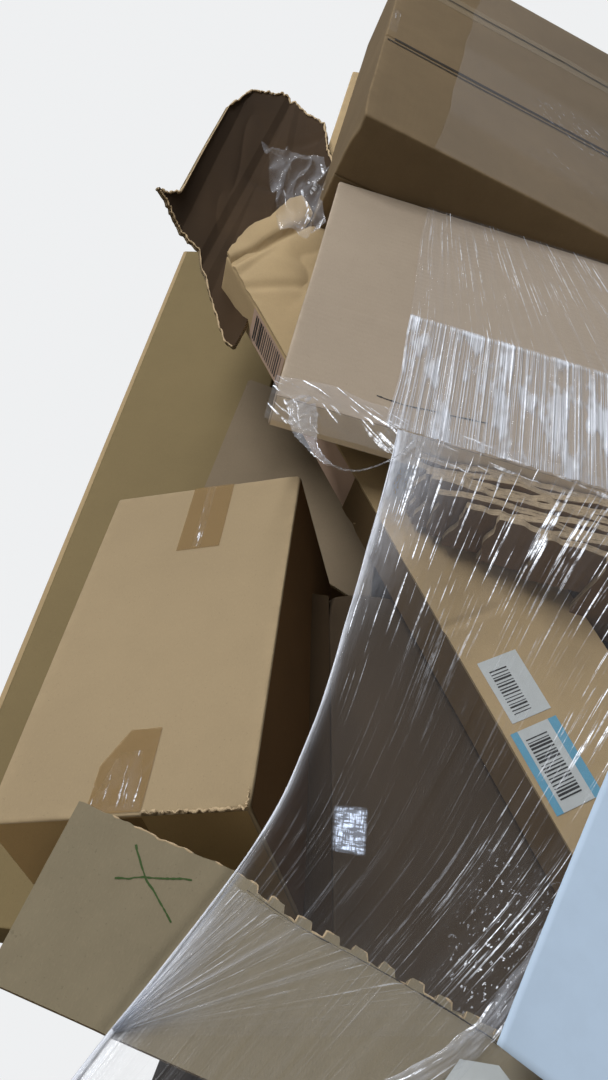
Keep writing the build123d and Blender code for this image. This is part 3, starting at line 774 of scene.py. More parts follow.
def long_relief(x, z):
    crumple = smooth(0.80, 0.90, z)
    folds = groove(z - 0.45 * x, 0.905, 5 * MM, 1.0) * 7 * MM
    folds = folds + groove(z + 0.15 * x, 0.865, 7 * MM, 1.0) * 5 * MM
    y = -folds * crumple
    y += (ridges(x * 16 + z * 5, z * 18, 31) - 0.3) * 6.0 * MM * crumple
    y += (ridges(x * 9 - z * 12, z * 7, 35) - 0.3) * 5.0 * MM * crumple
    y += 2.4 * MM * np.exp(-((z - 0.432 - x * 0.03) / (3 * MM)) ** 2) * smooth(0.075, 0.055, x)
    y += 3.5 * MM * np.exp(-((x - 0.120) / 0.022) ** 2 - ((z - 0.525) / 0.020) ** 2)
    y += 1.2 * MM * ridges(x * 14, z * 9, 33) * smooth(0.45, 0.50, z) * smooth(0.75, 0.60, z)
    y += 0.8 * MM * (0.5 + 0.5 * noise2(x * 12, z * 12, 34))
    return y + smooth(0.93, 1.0, z) * 6 * MM


long_xs = np.linspace(0.5 * MM, 137.5 * MM, 90)
rim_noise = noise2(long_xs * 160, 0.0, 5) * 1.2 * MM
front = board_piece("long_board_front", long.at, long_xs, np.full(len(long_xs), 1 * MM),
                    np.interp(long_xs, RIM[:, 0], RIM[:, 1]) + rim_noise, FRONT_BOARD, 270, light, edge_light,
                    long_relief, plain_sides=True)
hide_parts("long_carton", "long_flap")

# Loose panel
panel = Box("loose_panel")
panel_xs = np.linspace(0, 0.220, 60)
piece = board_piece("loose_board", panel.at, panel_xs, np.interp(panel_xs, (0, 0.220), (0.142, 0)),
                    np.interp(panel_xs, (0, 0.019, 0.220), (0.142, 0.366, 0.280)), 4 * MM, 40, panel_board,
                    edge_light, lambda x, z: 0.9 * MM * np.exp(-((z - 0.320 + x * 0.45) / (3 * MM)) ** 2))
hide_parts("loose_panel")

# Torn tray: a double wall with nubs along its torn edge
tray = Box("torn_tray")
TEAR_LINE = np.array([(0, 97), (100, 96.5), (138, 89), (182, 86), (222, 82), (254, 78), (272, 74),
                      (556, 76)]) * MM
NUB_START = 0.116
NUB_PITCH = 17.5 * MM
NUB_END = 0.272
tray_xs = np.unique(np.concatenate([np.arange(0, 0.30, 0.8 * MM), np.linspace(0.30, 0.556, 60)]))
cycle = ((tray_xs - NUB_START) / NUB_PITCH + 0.5) % 1
slot = smooth(0.27, 0.23, np.abs(cycle - 0.5)) * smooth(NUB_START - 0.012, NUB_START - 0.006, tray_xs)
slot = slot * smooth(NUB_END, NUB_END - 0.006, tray_xs)
slot = slot * (4 * MM + noise2(tray_xs * 45, 0.0, 5) * MM)
tray_top = np.interp(tray_xs, *TEAR_LINE.T) - slot
tray_top += (noise2(tray_xs * 260, 0.0, 7) * 0.5 + noise2(tray_xs * 60, 0.0, 8) * 0.5) * MM
tray_top = np.minimum(tray_top, 97.4 * MM)


def tray_relief(x, z):
    bend = 1.6 * MM * np.exp(-((x - 0.066 - z * 0.32) / (4 * MM)) ** 2)
    dents = 0.7 * MM * (0.5 + 0.5 * noise2(x * 16, z * 16, 12)) + 0.25 * MM * noise2(x * 90, z * 90, 13)
    nub = smooth(NUB_START - 0.01, NUB_START, x) * smooth(6 * MM, 0, np.interp(x, *TEAR_LINE.T) - z)
    return bend + dents - nub * 1.2 * MM * (0.5 + 0.5 * noise2(x * 90, 0.0, 15))


piece = board_piece("tray_wall", tray.at, tray_xs, np.zeros_like(tray_xs), tray_top, 6.5 * MM, 36, grey,
                    edge_grey, tray_relief)
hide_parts("torn_tray")
rim_x = tray_xs[(tray_xs > 0.002) & (tray_xs < 0.40)]
rim_z = np.interp(rim_x, tray_xs, tray_top) - 0.3 * MM
rim = join(rim_x, tray_relief(rim_x, rim_z) + 0.5 * MM, rim_z)
tube("tray_rim", tray.at(rim), (0.5 + 0.4 * noise2(rim_x * 220, 0.0, 16)) * MM, rim_board)
cut_x = rim_x[(rim_x > 0.106) & (rim_x < 0.270)]
cut_z = np.interp(cut_x, *TEAR_LINE.T) - 5.4 * MM + noise2(cut_x * 60, 0.0, 17) * 0.3 * MM
cut = join(cut_x, tray_relief(cut_x, cut_z) - 0.1 * MM, cut_z)
cut_radius = np.maximum(0.45 * noise2(cut_x * 90, 0.0, 18) + 0.2, 0.05) * MM
tube("tray_cut_line", tray.at(cut), cut_radius, brown_line_and_shade, 5)
for name, left, right, high in (("tray_floor", 0.125, 0.549, 0.005), ("tray_end", 0.549, 0.556, 0.097)):
    piece = slab(name, tray, (left, 0.007, 0), (right, tray.size[1], high), grey)
    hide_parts("torn_tray")

# Torn flaps: a curved wall with flat stretches between its folds
corner = long.at((0, 0, long.size[2]))
FLAPS_TOP = np.array([(-98, 78), (-91, 90), (-85, 114), (-82, 348), (-66, 441), (-21, 485), (50, 402),
                      (87, 226), (90, 150)]) * MM
FLAPS_LOW = np.array([(-98, 76), (-91, 74), (-44, 50), (21, -86), (35, -100), (62, 88), (84, 112),
                      (90, 140)]) * MM
FLAPS_CENTRE = (-4.2 * MM, -52.1 * MM)
FLAPS_RADIUS = 103.2 * MM
FOLDS = np.radians([-66, -38, -4, 31, 66])
angles = np.radians(np.linspace(-66, 64, 260))


def flaps_radius(angle, z):
    number = np.clip(np.searchsorted(FOLDS, angle) - 1, 0, len(FOLDS) - 2)
    low = FOLDS[number]
    high = FOLDS[number + 1]
    flat = np.cos((high - low) / 2) / np.cos(angle - (low + high) / 2)
    return FLAPS_RADIUS * (0.25 + 0.75 * flat)


def flaps_place(p):
    angle = p[:, 0]
    radius = flaps_radius(angle, p[:, 2]) + p[:, 1]
    x = corner[0] + FLAPS_CENTRE[0] + radius * np.sin(angle)
    y = corner[1] + FLAPS_CENTRE[1] + radius * np.cos(angle)
    return join(x, y, corner[2] + p[:, 2])


def flaps_relief(x, z):
    warp = 2 * MM * noise2(x * 3, z * 9, 41) + 2 * MM * (ridges(x * 3 + z * 6, z * 7, 43) - 0.25)
    warp += 3.0 * MM * np.maximum(0, 1 - np.abs(x + 0.30 - z * 0.5) / 0.10)
    warp -= 3.0 * MM * np.maximum(0, 1 - np.abs(x - 0.42 + z * 0.9) / 0.09)
    warp += 2.5 * MM * np.maximum(0, 1 - np.abs(z - 0.330 - x * 0.06) / 0.020) * smooth(-0.2, 0.3, x)
    fold = 5 * MM * np.exp(-((z - 0.235 + x * 0.05) / (6 * MM)) ** 2) * smooth(-0.4, 0.2, x)
    return warp + fold


at_x = FLAPS_CENTRE[0] + FLAPS_RADIUS * np.sin(angles)
ragged = noise2(angles * 26, 0.0, 45) * 3.0 * MM + noise2(angles * 80, 0.0, 46) * 1.5 * MM
flap_top = np.interp(at_x, *FLAPS_TOP.T) + ragged
flap_low = np.interp(at_x, *FLAPS_LOW.T) + ragged[::-1] * 0.6
flap_top = np.maximum(flap_top, flap_low + 4 * MM)
piece = board_piece("flap_wall", flaps_place, angles, flap_low, flap_top, 4.5 * MM, 76, inner, edge_light,
                    flaps_relief)
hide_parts("torn_flaps")
edge_run = np.linspace(0, 1, 400)
angle_run = np.linspace(0, 1, len(angles))
rim_angle = np.interp(edge_run, angle_run, angles)


def flap_rim(name, edge, part, seed, ragged, lift, radius, uneven):
    """The light torn rim along a part of the flaps' upper or lower edge."""
    level = np.interp(edge_run, angle_run, edge) + noise2(edge_run * 70, 0.0, seed) * ragged * MM
    line = flaps_place(join(rim_angle, flaps_relief(rim_angle, level) - lift * MM, level))
    thick = radius + uneven * noise2(edge_run * 120, 0.0, seed + 1)[part]
    tube(name, line[part], thick * MM, rim_board)


flap_rim("flap_rim", flap_top, slice(4, -12), 47, 1.0, 1.0, 1.3, 0.7)
flap_rim("flap_rim_low", flap_low, slice(4, 270), 49, 0.8, 0.6, 0.8, 0.5)

# Stack of flattened sheets, each with its own torn edge
stack_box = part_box("sheet_stack")
stack_points = np.array([v.co for v in nodes["sheet_stack"].data.vertices])
SHEET_COUNT = 9
SHEET_PITCH = 8.3 * MM
SHEET_THICKNESS = 6.8 * MM
SHEET_POINTS = 320
for number in range(SHEET_COUNT):
    level = stack_box[0].z + number * SHEET_PITCH
    own = stack_points[np.abs(stack_points[:, 2] - level) < 1 * MM]
    left = own[:, 0].min() + 1 * MM
    own_left = own[own[:, 0] < left + 0.03]
    front_y = np.median(own[own[:, 1] < stack_box[0].y + 0.014][:, 1])
    right = stack_box[1].x
    back_y = own_left[:, 1].max()
    xs = left + (right - left) * np.linspace(0, 1, SHEET_POINTS) ** 1.6
    wave = noise2(xs * 34, number * 3.7, 51) * 4.0 * MM + noise2(xs * 110, number * 2.3, 52) * 1.6 * MM
    wave = wave + noise2(xs * 9, number * 1.9, 53) * 4.0 * MM

    def sheet_place(p, level=level):
        return join(p[:, 0], p[:, 2], level + 7.2 * MM - p[:, 1])

    def sheet_relief(x, z, number=number):
        return noise2(x * 14, z * 10 + number, 55) * 0.9 * MM + 0.9 * MM

    def sheet_slide(x, z, number=number, left=left):
        ragged = noise2(z * 70, number * 1.3, 57) * 5 * MM + noise2(z * 240, number * 2.1, 58) * 1.5 * MM
        return (ragged + 4 * MM) * np.exp(-(x - left) / 0.02)

    # Each sheet's underside takes the darker board: painted shade under the sheet
    piece = board_piece(f"sheet_{number + 1}", sheet_place, xs, front_y + wave, np.full(SHEET_POINTS, back_y),
                        SHEET_THICKNESS, 10, sheet_board, edge_sheet, sheet_relief, sheet_slide,
                        under=shaded_under_sheet)
    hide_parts("sheet_stack")

# Materials of the nodes that stay


def dress(node, material):
    mesh = nodes[node].data
    mesh.materials.clear()
    mesh.materials.append(material)


for material, dressed in ((brown, ("lower_tier", "middle_tier", "crushed_carton", "top_back_carton")),
                          (rear_board, ("back_carton_lower", "back_carton_upper")),
                          (wood, ("pallet_stringers", "pallet_top_boards", "pallet_bottom_boards")),
                          (dark, ("tray_fill",)), (grey, ("sheet_bed",))):
    for node in dressed:
        dress(node, material)

# Tape, labels and drawn lines


def crinkle(scale, depth, seed):
    return lambda a, b: depth * (ridges(a * scale + b * scale * 0.6, b * scale * 1.3, seed) +
                                 ridges(a * scale * 2.3 - b * scale, b * scale, seed + 1))


patch("tape_upper", taped, 0.080, 0.120, 0.266, 0.359, amber_tape, step=1 * MM,
      wrinkle=lambda a, b: 0.5 * MM * np.exp(-((a - 0.098 - (0.359 - b) * 0.05) / (0.9 * MM)) ** 2)
      + 0.25 * MM * ridges(a * 60, b * 50, 61))
patch("tape_lower", taped, 0.073, 0.112, 0.002, 0.069, amber_tape, step=0.8 * MM,
      wrinkle=crinkle(45, 0.5 * MM, 63),
      outline=lambda a, b: (np.maximum(a, 0.073 + np.clip(b - 0.040, 0, 1) * 0.55), b))
patch("tape_lower_shine", taped, 0.080, 0.106, 0.003, 0.050, tape_film, 0.8 * MM, step=0.7 * MM,
      wrinkle=crinkle(60, 0.5 * MM, 65),
      outline=lambda a, b: (a + (b - 0.03) * 0.35 * (0.095 - a) / 0.02, b))
patch("tape_upper_shine", taped, 0.094, 0.102, 0.268, 0.358, tape_film, 0.6 * MM, step=0.7 * MM)
run = np.linspace(0, 1, 260)
lip = join(0.112 + 0.070 * run, -0.6 * MM - 0.6 * MM * ridges(run * 14, 0.0, 66),
           0.5 * MM + noise2(run * 26, 0.0, 67) * 1.2 * MM)
tube("taped_lip", taped.at(lip), (0.9 + 0.9 * noise2(run * 40, 0.0, 68)) * MM, rim_board)
lip = join(0.183 + noise2(run * 9, 0.0, 69) * 0.8 * MM, -0.4 * MM - 0.5 * MM * run, 0.001 + 0.016 * run)
tube("taped_corner_lip", taped.at(lip), (0.9 + 0.7 * noise2(run * 20, 0.0, 70)) * (1.1 - run) * MM, rim_board)
patch("tape_under", taped, 0.073, 0.112, 0.003, 0.080, amber_tape, face="bottom", step=2 * MM)
patch("small_label", taped, 0.028, 0.050, 0.050, 0.085, label_white, face="bottom")
bars("small_label_bars", taped, 0.031, 0.047, 0.054, 0.080, 9, 5, face="bottom")
# The glued lap on the tall carton's left edge, in lighter board as a painted highlight along that edge
patch("tall_lap", tall, 0.0005, 0.006, 0.004, 1.041, light, 0.5 * MM, step=3 * MM)
patch("side_label", long, 0.006, 0.047, 0.762, 0.840, pink_label_and_lit_band, face="left", step=4 * MM)
bars("side_label_bars", long, 0.010, 0.043, 0.768, 0.834, 16, 9, face="left")
# The long carton's side band below the pink part: a darker layer of board, as painted shade
patch("long_side_shade", long, 0.0006, long.size[1] - 0.0006, 0.004, 0.600, shaded_side_board, 1.0 * MM, face="left",
      step=10 * MM)


def cover(name, box, first, second, margin, material, lift, face):
    """A layer of board over a whole face, but for its margin."""
    patch(name, box, margin, box.size[first] - margin, margin, box.size[second] - margin, material, lift,
          face, step=8 * MM)


# The taped carton's bottom face: a lighter copy of its board, as painted light from below
cover("taped_under_lit", taped, 0, 1, 2 * MM, lit_under_yellow, 0.1 * MM, "bottom")
# The taped carton's right side: a darker copy of its board, as painted shade
cover("taped_side_shade", taped, 1, 2, 3 * MM, shaded_side_yellow, 0.15 * MM, "right")
# The wide carton's bottom face: a much lighter copy of its board, as painted light from below
cover("wide_under_lit", wide, 0, 1, 2 * MM, lit_under_board, 0.2 * MM, "bottom")
# The upper part of the long carton's side band in the pink colour: painted light where it catches the lamps
patch("pink_lit_side", long, 0.002, 0.048, 0.600, 0.760, pink_label_and_lit_band, face="left", step=8 * MM, lift=0.25 * MM)


def board_patch(name, a0, a1, b0, b1, material, lift, step=3 * MM):
    """A label on the long carton's front board."""
    b, a = lattice(np.linspace(b0, b1, max(3, int((b1 - b0) / step))),
                   np.linspace(a0, a1, max(3, int((a1 - a0) / step))))
    points = join(a, long_relief(a, b) - lift, b)
    sheet_piece(name, long.at(points), material, join(a, b))


def board_bars(name, a0, a1, b0, b1, count, seed, lift):
    """Plain printed bars on such a label."""
    random = np.random.RandomState(seed)
    pitch = (b1 - b0) / count
    for number in range(count):
        low = b0 + pitch * number
        board_patch(f"{name}_{number + 1}", a0, a1, low, low + pitch * random.uniform(0.25, 0.7), print_black,
                    lift, step=20 * MM)


board_patch("label_upper", 0.012, 0.053, 0.336, 0.393, label_white, 0.4 * MM)
board_bars("label_upper_bar", 0.018, 0.036, 0.342, 0.384, 15, 21, 0.55 * MM)
board_patch("label_lower", 0.005, 0.053, 0.259, 0.329, label_blue, 0.4 * MM)
board_patch("label_lower_white", 0.012, 0.044, 0.259, 0.329, label_white, 0.55 * MM)
board_bars("label_lower_bar", 0.015, 0.037, 0.268, 0.322, 19, 23, 0.7 * MM)


def stroke(name, box, line, width, material, lift, relief, seed):
    """A drawn line on a front face, through places of its own frame."""
    line = np.array(line, float)
    steps = np.linspace(0, 1, 60)
    path = np.stack([np.interp(steps, np.linspace(0, 1, len(line)), line[:, n]) for n in (0, 1)], axis=1)
    path += join(noise2(steps * 9, seed, 5), noise2(steps * 9, seed, 6)) * 0.5 * MM
    along = np.gradient(path, axis=0)
    along /= np.linalg.norm(along, axis=1, keepdims=True)
    side = join(-along[:, 1], along[:, 0])
    half = width / 2 * (0.8 + 0.35 * noise2(steps * 30, seed, 7))
    flat = np.stack([path - side * half[:, None], path + side * half[:, None]], axis=1)
    y = relief(flat[..., 0], flat[..., 1]) - lift
    points = join(flat[..., 0], y, flat[..., 1])
    sheet_piece(name, box.at(points), material)


stroke("green_line_1", tray, [(0.039, 0.088), (0.052, 0.074), (0.074, 0.059)], 1.3 * MM, green_ink,
       0.25 * MM, tray_relief, 1)
stroke("green_line_2", tray, [(0.037, 0.067), (0.052, 0.074), (0.076, 0.083)], 1.2 * MM, green_ink,
       0.25 * MM, tray_relief, 2)
stroke("black_line", wide, [(0.086, 0.0345), (0.097, 0.0325), (0.112, 0.032), (0.150, 0.036), (0.190, 0.040)],
       2.0 * MM, print_black, 0.3 * MM, lambda a, b: -wide.relief(1, 0, a, b), 3)
patch("top_tape", upper_top, 0.006, 0.494, 0.176, 0.214, clear_tape, wrinkle=crinkle(9, 0.4 * MM, 71))
top_width = lower_top.size[0] - 0.004
top_height = lower_top.size[2]
# A dark strip at the top of the lower top carton: painted shadow in the gap under the upper carton
patch("gap_shade_top", lower_top, 0.012, top_width, top_height - 0.0045, top_height, brown_line_and_shade, 0.8 * MM,
      step=6 * MM)
# A second dark line a little below it: painted shade of the same gap
patch("gap_shade_below", lower_top, 0.004, top_width, top_height - 0.0125, top_height - 0.0095, brown_line_and_shade,
      0.6 * MM)
# A dark line along the upper carton's seam: painted shade in the seam
patch("seam_shade_upper", upper_top, 0.004, 0.496, 0.1955, 0.1985, brown_line_and_shade, lift=1.1 * MM, step=8 * MM)
patch("top_corner_shine", upper_top, 0.001, 0.012, 0.010, 0.075, tape_film, lift=1.0 * MM, step=1 * MM,
      wrinkle=crinkle(20, 1.2 * MM, 75))

# Stretch film

EDGE_LINE = np.array([(-0.560, 0.859), (-0.500, 0.985), (-0.469, 1.052), (-0.449, 1.092), (-0.425, 1.143),
                      (-0.408, 1.187), (-0.394, 1.263), (-0.385, 1.362), (-0.375, 1.478), (-0.372, 1.539)])
FAN = 2.2
FAN_LEVEL = 1.054
PLEAT = 1.3 * MM
film_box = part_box("wrap_main")
film_front = film_box[0].y
film_right = film_box[1].x
film_low = film_box[0].z
film_high = wide.at((0, 0, 0))[2] - 1 * MM
TRAY_SLOPE = tray.axes[0][1] / tray.axes[0][0]
TRAY_FALL = -tray.axes[0][2] / tray.axes[0][0]
tray_corner = tray.at((0, 0, 0))
wide_corner = wide.at((0, 0, 0))
WIDE_SLOPE = wide.axes[0][1] / wide.axes[0][0]


edge_levels = np.linspace(0.80, 1.60, 401)
edge_curve = np.interp(edge_levels, EDGE_LINE[:, 1], EDGE_LINE[:, 0])
edge_curve = np.convolve(np.pad(edge_curve, 22, mode="edge"), np.hanning(45) / np.hanning(45).sum(), "valid")


def film_edge(z):
    """The main wind's left edge: x at a height."""
    return np.interp(z, edge_levels, edge_curve)


def film_depth(x, z):
    """The face that the front of the main wind is drawn over: y at a place."""
    tray_face = tray_corner[1] + (x - tray_corner[0]) * TRAY_SLOPE
    tray_face = np.maximum(tray_face, film_front + 1.5 * MM)
    plain_face = film_front + 11.5 * MM
    tray_face = tray_face + (plain_face - tray_face) * smooth(-0.19, 0.05, x)
    top = tray_corner[2] - (x - tray_corner[0]) * TRAY_FALL + 0.097
    upper = wide_corner[1] + (x - wide_corner[0]) * WIDE_SLOPE
    upper = np.maximum(upper, film_front + 1.5 * MM)
    t = np.clip((z - top) / (film_high - top), 0, 1)
    y = tray_face + (upper - tray_face) * t
    below = np.clip((z - 0.959) / 0.05, 0, 1)
    low_face = film_front + 1.5 * MM
    return low_face + (y - low_face) * below


rows = np.concatenate([np.linspace(film_low, 1.0, 16)[:-1], np.linspace(1.0, film_high, 130)])
columns = np.concatenate([np.arange(0, 0.30, 0.0017), np.linspace(0.30, 1.35, 130)])
z, s = lattice(rows, columns)
x = np.minimum(film_edge(z) + s * np.exp(FAN * (z - FAN_LEVEL)), film_right - 1 * MM)
crease = ridges(s * 75, z * 2.5 + s * 3, 3) * 1.5 + ridges(s * 190, z * 4.0, 4) * 0.8
sag = noise2(s * 9, z * 4, 8) * 2.5 * MM
y = film_depth(x, z) - PLEAT * crease * smooth(0, 0.01, s) - 0.4 * MM + np.where(z > 1.17, sag, 0)
points = join(x, y, z)
uv = join(s, z)
over_tray = smooth(1.16, 1.06, z)
dense = 0.9 * np.exp(-s / (0.0010 + 0.005 * over_tray)) + 0.04 * over_tray
dense += 0.42 * smooth(1.24, 1.53, z) * np.exp(-(s / (0.002 + 0.016 * smooth(1.22, 1.50, z))) ** 2)
upper_left = smooth(1.28, 1.42, z - 0.3 * s + 0.06 * np.exp(-s / 0.02))
weight = np.clip(0.10 + upper_left + smooth(0.075, 0.12, s) * smooth(1.10, 1.16, z) + 0.08 * over_tray, 0, 1)
front_film = sheet_piece("film_front", points, clear_film, uv, dense, weight=weight)
edge_z = np.linspace(0.90, film_high, 200)
edge_x = film_edge(edge_z)
edge_y = film_depth(edge_x, edge_z) - 1.0 * MM
edge_rope = tube("film_edge_rope", join(edge_x, edge_y, edge_z),
                 0.55 * MM + 0.2 * MM * noise2(edge_z * 40, 0.0, 6) + 0.9 * MM * smooth(1.12, 1.04, edge_z),
                 rope_film, 7, 0.95)

# Pleats that fan out over the tray from the corner where the film is drawn together
radius = np.linspace(0.004, 0.34, 60)
angle = np.radians(np.linspace(27, 78, 420))
r, a = lattice(radius, angle)
fold = ridges(a * 14, r * 5, 81) * 1.2 + ridges(a * 45, r * 7, 82) * 0.6
x = -0.470 + r * np.sin(a)
z = 1.052 + r * np.cos(a)
torn_line = np.interp((x - tray_corner[0]) / tray.axes[0][0], *TEAR_LINE.T)
inside = tray_corner[2] - (x - tray_corner[0]) * TRAY_FALL + torn_line - 0.004
z = np.minimum(z, inside)
y = film_depth(x, z) - (1.3 + fold * smooth(0.3, 0.02, r) * 1.6) * MM
bands = ridges(a * 5.0, 0.0, 87) * smooth(0.26, 0.05, r)
fan_dense = 0.35 * smooth(0.07, 0.0, r) + 0.30 * bands ** 3
fan_weight = smooth(math.radians(78), math.radians(60), a) * smooth(0.34, 0.22, r)
pleats = sheet_piece("film_pleats", join(x, y, z), pleat_film, join(a * 0.34, r),
                     fan_dense * fan_weight, weight=0.75 * fan_weight)

# Gathered rope of film along the paper's left edge
ROPE = np.array([(-0.205, 1.215), (-0.226, 1.170), (-0.241, 1.145), (-0.258, 1.119), (-0.274, 1.096),
                 (-0.289, 1.082), (-0.313, 1.064), (-0.340, 1.050)])
steps = np.linspace(0, 1, 160)
rope_x, rope_z = [np.interp(steps, np.linspace(0, 1, len(ROPE)), ROPE[:, n]) for n in (0, 1)]
across = np.linspace(-1, 1, 22)
t, w = lattice(steps, across)
wide_part = 0.005 + 0.0025 * noise2(t * 12, 0.0, 83)
x = rope_x[:, None] + w * wide_part * 0.85
z = rope_z[:, None] - w * wide_part * 0.55
bundle = (1 - w ** 2) * 1.5 * MM + ridges(w * 3, t * 9, 84) * 1.0 * MM
y = film_depth(x, z) - 1.8 * MM - bundle
sheet_piece("film_gathered", join(x, y, z), crinkled_film, join(w * 0.01, t * 0.2),
            0.16 + 0.2 * noise2(t * 12, w * 2, 85))

# Lamp glare and fine crumples on the main wind


def within(quad, u, v):
    """Places inside four corners: across them by u and down them by v, from 0 to 1."""
    return [(quad[0, n] * (1 - u) + quad[1, n] * u) * (1 - v) + (quad[3, n] * (1 - u) + quad[2, n] * u) * v
            for n in (0, 1)]


v, u = lattice(np.linspace(0, 1, 30), np.linspace(0, 1, 24))
quad = np.array([(-0.377, 1.196), (-0.355, 1.200), (-0.353, 1.170), (-0.374, 1.168)])
x, z = within(quad, u, v)
y = film_depth(x, z) - 3.2 * MM
sheet_piece("film_glare", join(x, y, z), glare_film, join(u, v),
            smooth(0.0, 0.2, u) * smooth(0.0, 0.12, v) * smooth(1.0, 0.88, u) * smooth(1.0, 0.9, v))
r, w = lattice(np.linspace(0, 1, 60), np.linspace(0, 1, 60))
x = -0.318 + 0.095 * w + 0.030 * r
z = 1.095 + 0.120 * r - 0.020 * w
y = film_depth(x, z) - 3.0 * MM - noise2(x * 90, z * 90, 88) * 0.6 * MM
border = smooth(0.0, 0.3, w) * smooth(1.0, 0.7, w) * smooth(0.0, 0.3, r) * smooth(1.0, 0.7, r)
sheet_piece("film_crumples", join(x, y, z), sparkle_film, join(x - z * 0.5, z), weight=border)

# Right side and back of the main wind
side_x = film_right - 1 * MM
side_y0 = film_front + 1 * MM
side_y1 = film_box[1].y - 1 * MM
SIDE_STEPS = 90
route_y = np.concatenate([np.linspace(side_y0, side_y1, SIDE_STEPS), np.full(SIDE_STEPS, side_y1)])
route_x = np.concatenate([np.full(SIDE_STEPS, side_x), np.linspace(side_x, -0.40, SIDE_STEPS + 1)[1:]])
z, i = lattice(np.linspace(film_low, film_box[1].z - 1 * MM, 80), np.arange(2 * SIDE_STEPS))
along = np.concatenate([[0], np.cumsum(np.hypot(np.diff(route_x), np.diff(route_y)))])[i]
crease = ridges(along * 22 + z * 9, z * 3.0, 13) * 1.2 * MM
inward_x = np.where(i < SIDE_STEPS, -1.0, 0.0)
inward_y = np.where(i < SIDE_STEPS, 0.0, -1.0)
points = join(route_x[i] + inward_x * (1.2 * MM - crease), route_y[i] + inward_y * (1.2 * MM - crease), z)
side_film = sheet_piece("film_side", points, back_film, join(along + z * 0.35, z))
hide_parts("wrap_main")
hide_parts("wrap_main")

# Lower wind
low_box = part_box("wrap_lower")
corners = [(low_box[0].x, low_box[0].y), (low_box[1].x, low_box[0].y), (low_box[1].x, low_box[1].y),
           (low_box[0].x, low_box[1].y), (low_box[0].x, low_box[0].y)]
route = []
for start, end in zip(corners[:-1], corners[1:]):
    steps = np.linspace(0, 1, 80, endpoint=False)[:, None]
    route.append(np.array(start) + (np.array(end) - np.array(start)) * steps)
route = np.concatenate(route + [np.array([corners[0]])])
z, i = lattice(np.linspace(low_box[0].z, low_box[1].z, 50), np.arange(len(route)))
along = np.concatenate([[0], np.cumsum(np.hypot(*np.diff(route, axis=0).T))])[i]
crease = ridges(along * 16 + z * 6, z * 3.0, 17) * 1.0 * MM
centre = np.array([(low_box[0].x + low_box[1].x) / 2, (low_box[0].y + low_box[1].y) / 2])
half = np.array([low_box[1].x - centre[0], low_box[1].y - centre[1]])
flat = (route[i] - centre) * (1 - (1.2 * MM - crease)[..., None] / half)
points = np.concatenate([flat + centre, z[..., None]], axis=2)
low_film = sheet_piece("film_low", points, back_film, join(along + z * 0.3, z))
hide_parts("wrap_lower")

# Band over the wide carton: a dense lower stretch and a fan of thin pleats above it
band = Box("wrap_band")
DENSE_TOP = 0.158
u_line = np.concatenate([np.arange(0, 0.42, 0.0013), np.linspace(0.42, band.size[0], 60)])
v, u = lattice(np.linspace(0, band.size[2], 72), u_line)
thick = smooth(0.002, 0.0, v - (DENSE_TOP + noise2(u * 20, 0.0, 19) * 1.5 * MM))
wobble = noise2(v * 14, 0.0, 9) * 2 * MM * np.exp(-u / 0.012)
left = wobble + np.where(v < DENSE_TOP, 0.006 * v / DENSE_TOP, 0.006 - (v - DENSE_TOP) * 0.02)
height = np.clip((v - DENSE_TOP) / (band.size[2] - DENSE_TOP), 0, 1)
far = 1 - u / band.size[0]
fan_u = left * far + u * (1 - 0.42 * height * far)
crease = ridges(u * 230, v * 2.5, 21) * (0.5 + 1.1 * thick)
points = join(fan_u, 0.6 * MM - 1.0 * MM * crease, v)
edges = np.exp(-((v - DENSE_TOP) / 0.0018) ** 2) + np.exp(-(u / 0.0016) ** 2) * smooth(0.2, 0.1, v)
blaze = smooth(0.16, 0.24, u) * smooth(0.018, 0.05, v) * smooth(0.15, 0.11, v)
dense = thick * (0.85 + 0.5 * blaze) + 0.8 * edges * thick
band_film = sheet_piece("film_band", band.at(points), band_material, join(u, v), dense,
                        weight=np.clip(0.4 + 1.2 * far, 0, 1))
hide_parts("wrap_band")

# Film over the top cartons
top = Box("wrap_top", like=upper_top)
v, t = lattice(np.linspace(0, top.size[2], 80), np.linspace(0, 1, 140))
left = 0.035 * v / top.size[2] + noise2(v * 20, 0.0, 14) * 0.004
u = left + (top.size[0] - left) * t
crease = ridges(u * 60 + v * 40, v * 8, 23) * 0.25 * MM
points = join(u, 0.6 * MM - crease, v)
sparkle = smooth(0.22, 0.16, np.abs(v - 0.19 + u * 0.1) * 2)
top_film = sheet_piece("film_top", top.at(points), top_material, join(u + v * 0.9, v),
                       0.03 * sparkle, weight=sparkle * smooth(0.06, 0.20, u))
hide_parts("wrap_top")

# Loose film: gathered along the wide carton's lower edge, a hanging loop and a wad by the flaps


def edge_film(name, x0, x1, z0, z1, seed, strength, lift, tilt, weight):
    """Crinkled film round the wide carton's lower front edge."""
    b, a = lattice(np.linspace(z0, z1, 36), np.linspace(x0, x1, int((x1 - x0) / (1.3 * MM))))
    low = np.clip(-b, 0, 1)
    out = lift + crinkle(20, 1.8 * MM, seed)(a - b * 0.6, b * 1.2)
    out = out + noise2(a * 30, b * 40, seed + 4) * 1.0 * MM
    ragged = noise2(a * 22, 0.0, seed + 5) * 4 * MM * (b - z0) / (z1 - z0)
    points = join(a, -np.maximum(out, 0.4 * MM) + low * 0.9, b + ragged)
    sheet_piece(name, wide.at(points), crinkled_film, join(a * tilt + b, a - b * tilt), strength,
                weight=weight)


edge_film("film_under_left", -0.004, 0.118, -0.018, 0.024, 91, 0.06, 1.0 * MM, 0.5, 1.0)
edge_film("film_under_right", 0.100, 0.420, -0.016, 0.010, 95, 0.03, 1.2 * MM, 0.06, 0.6)

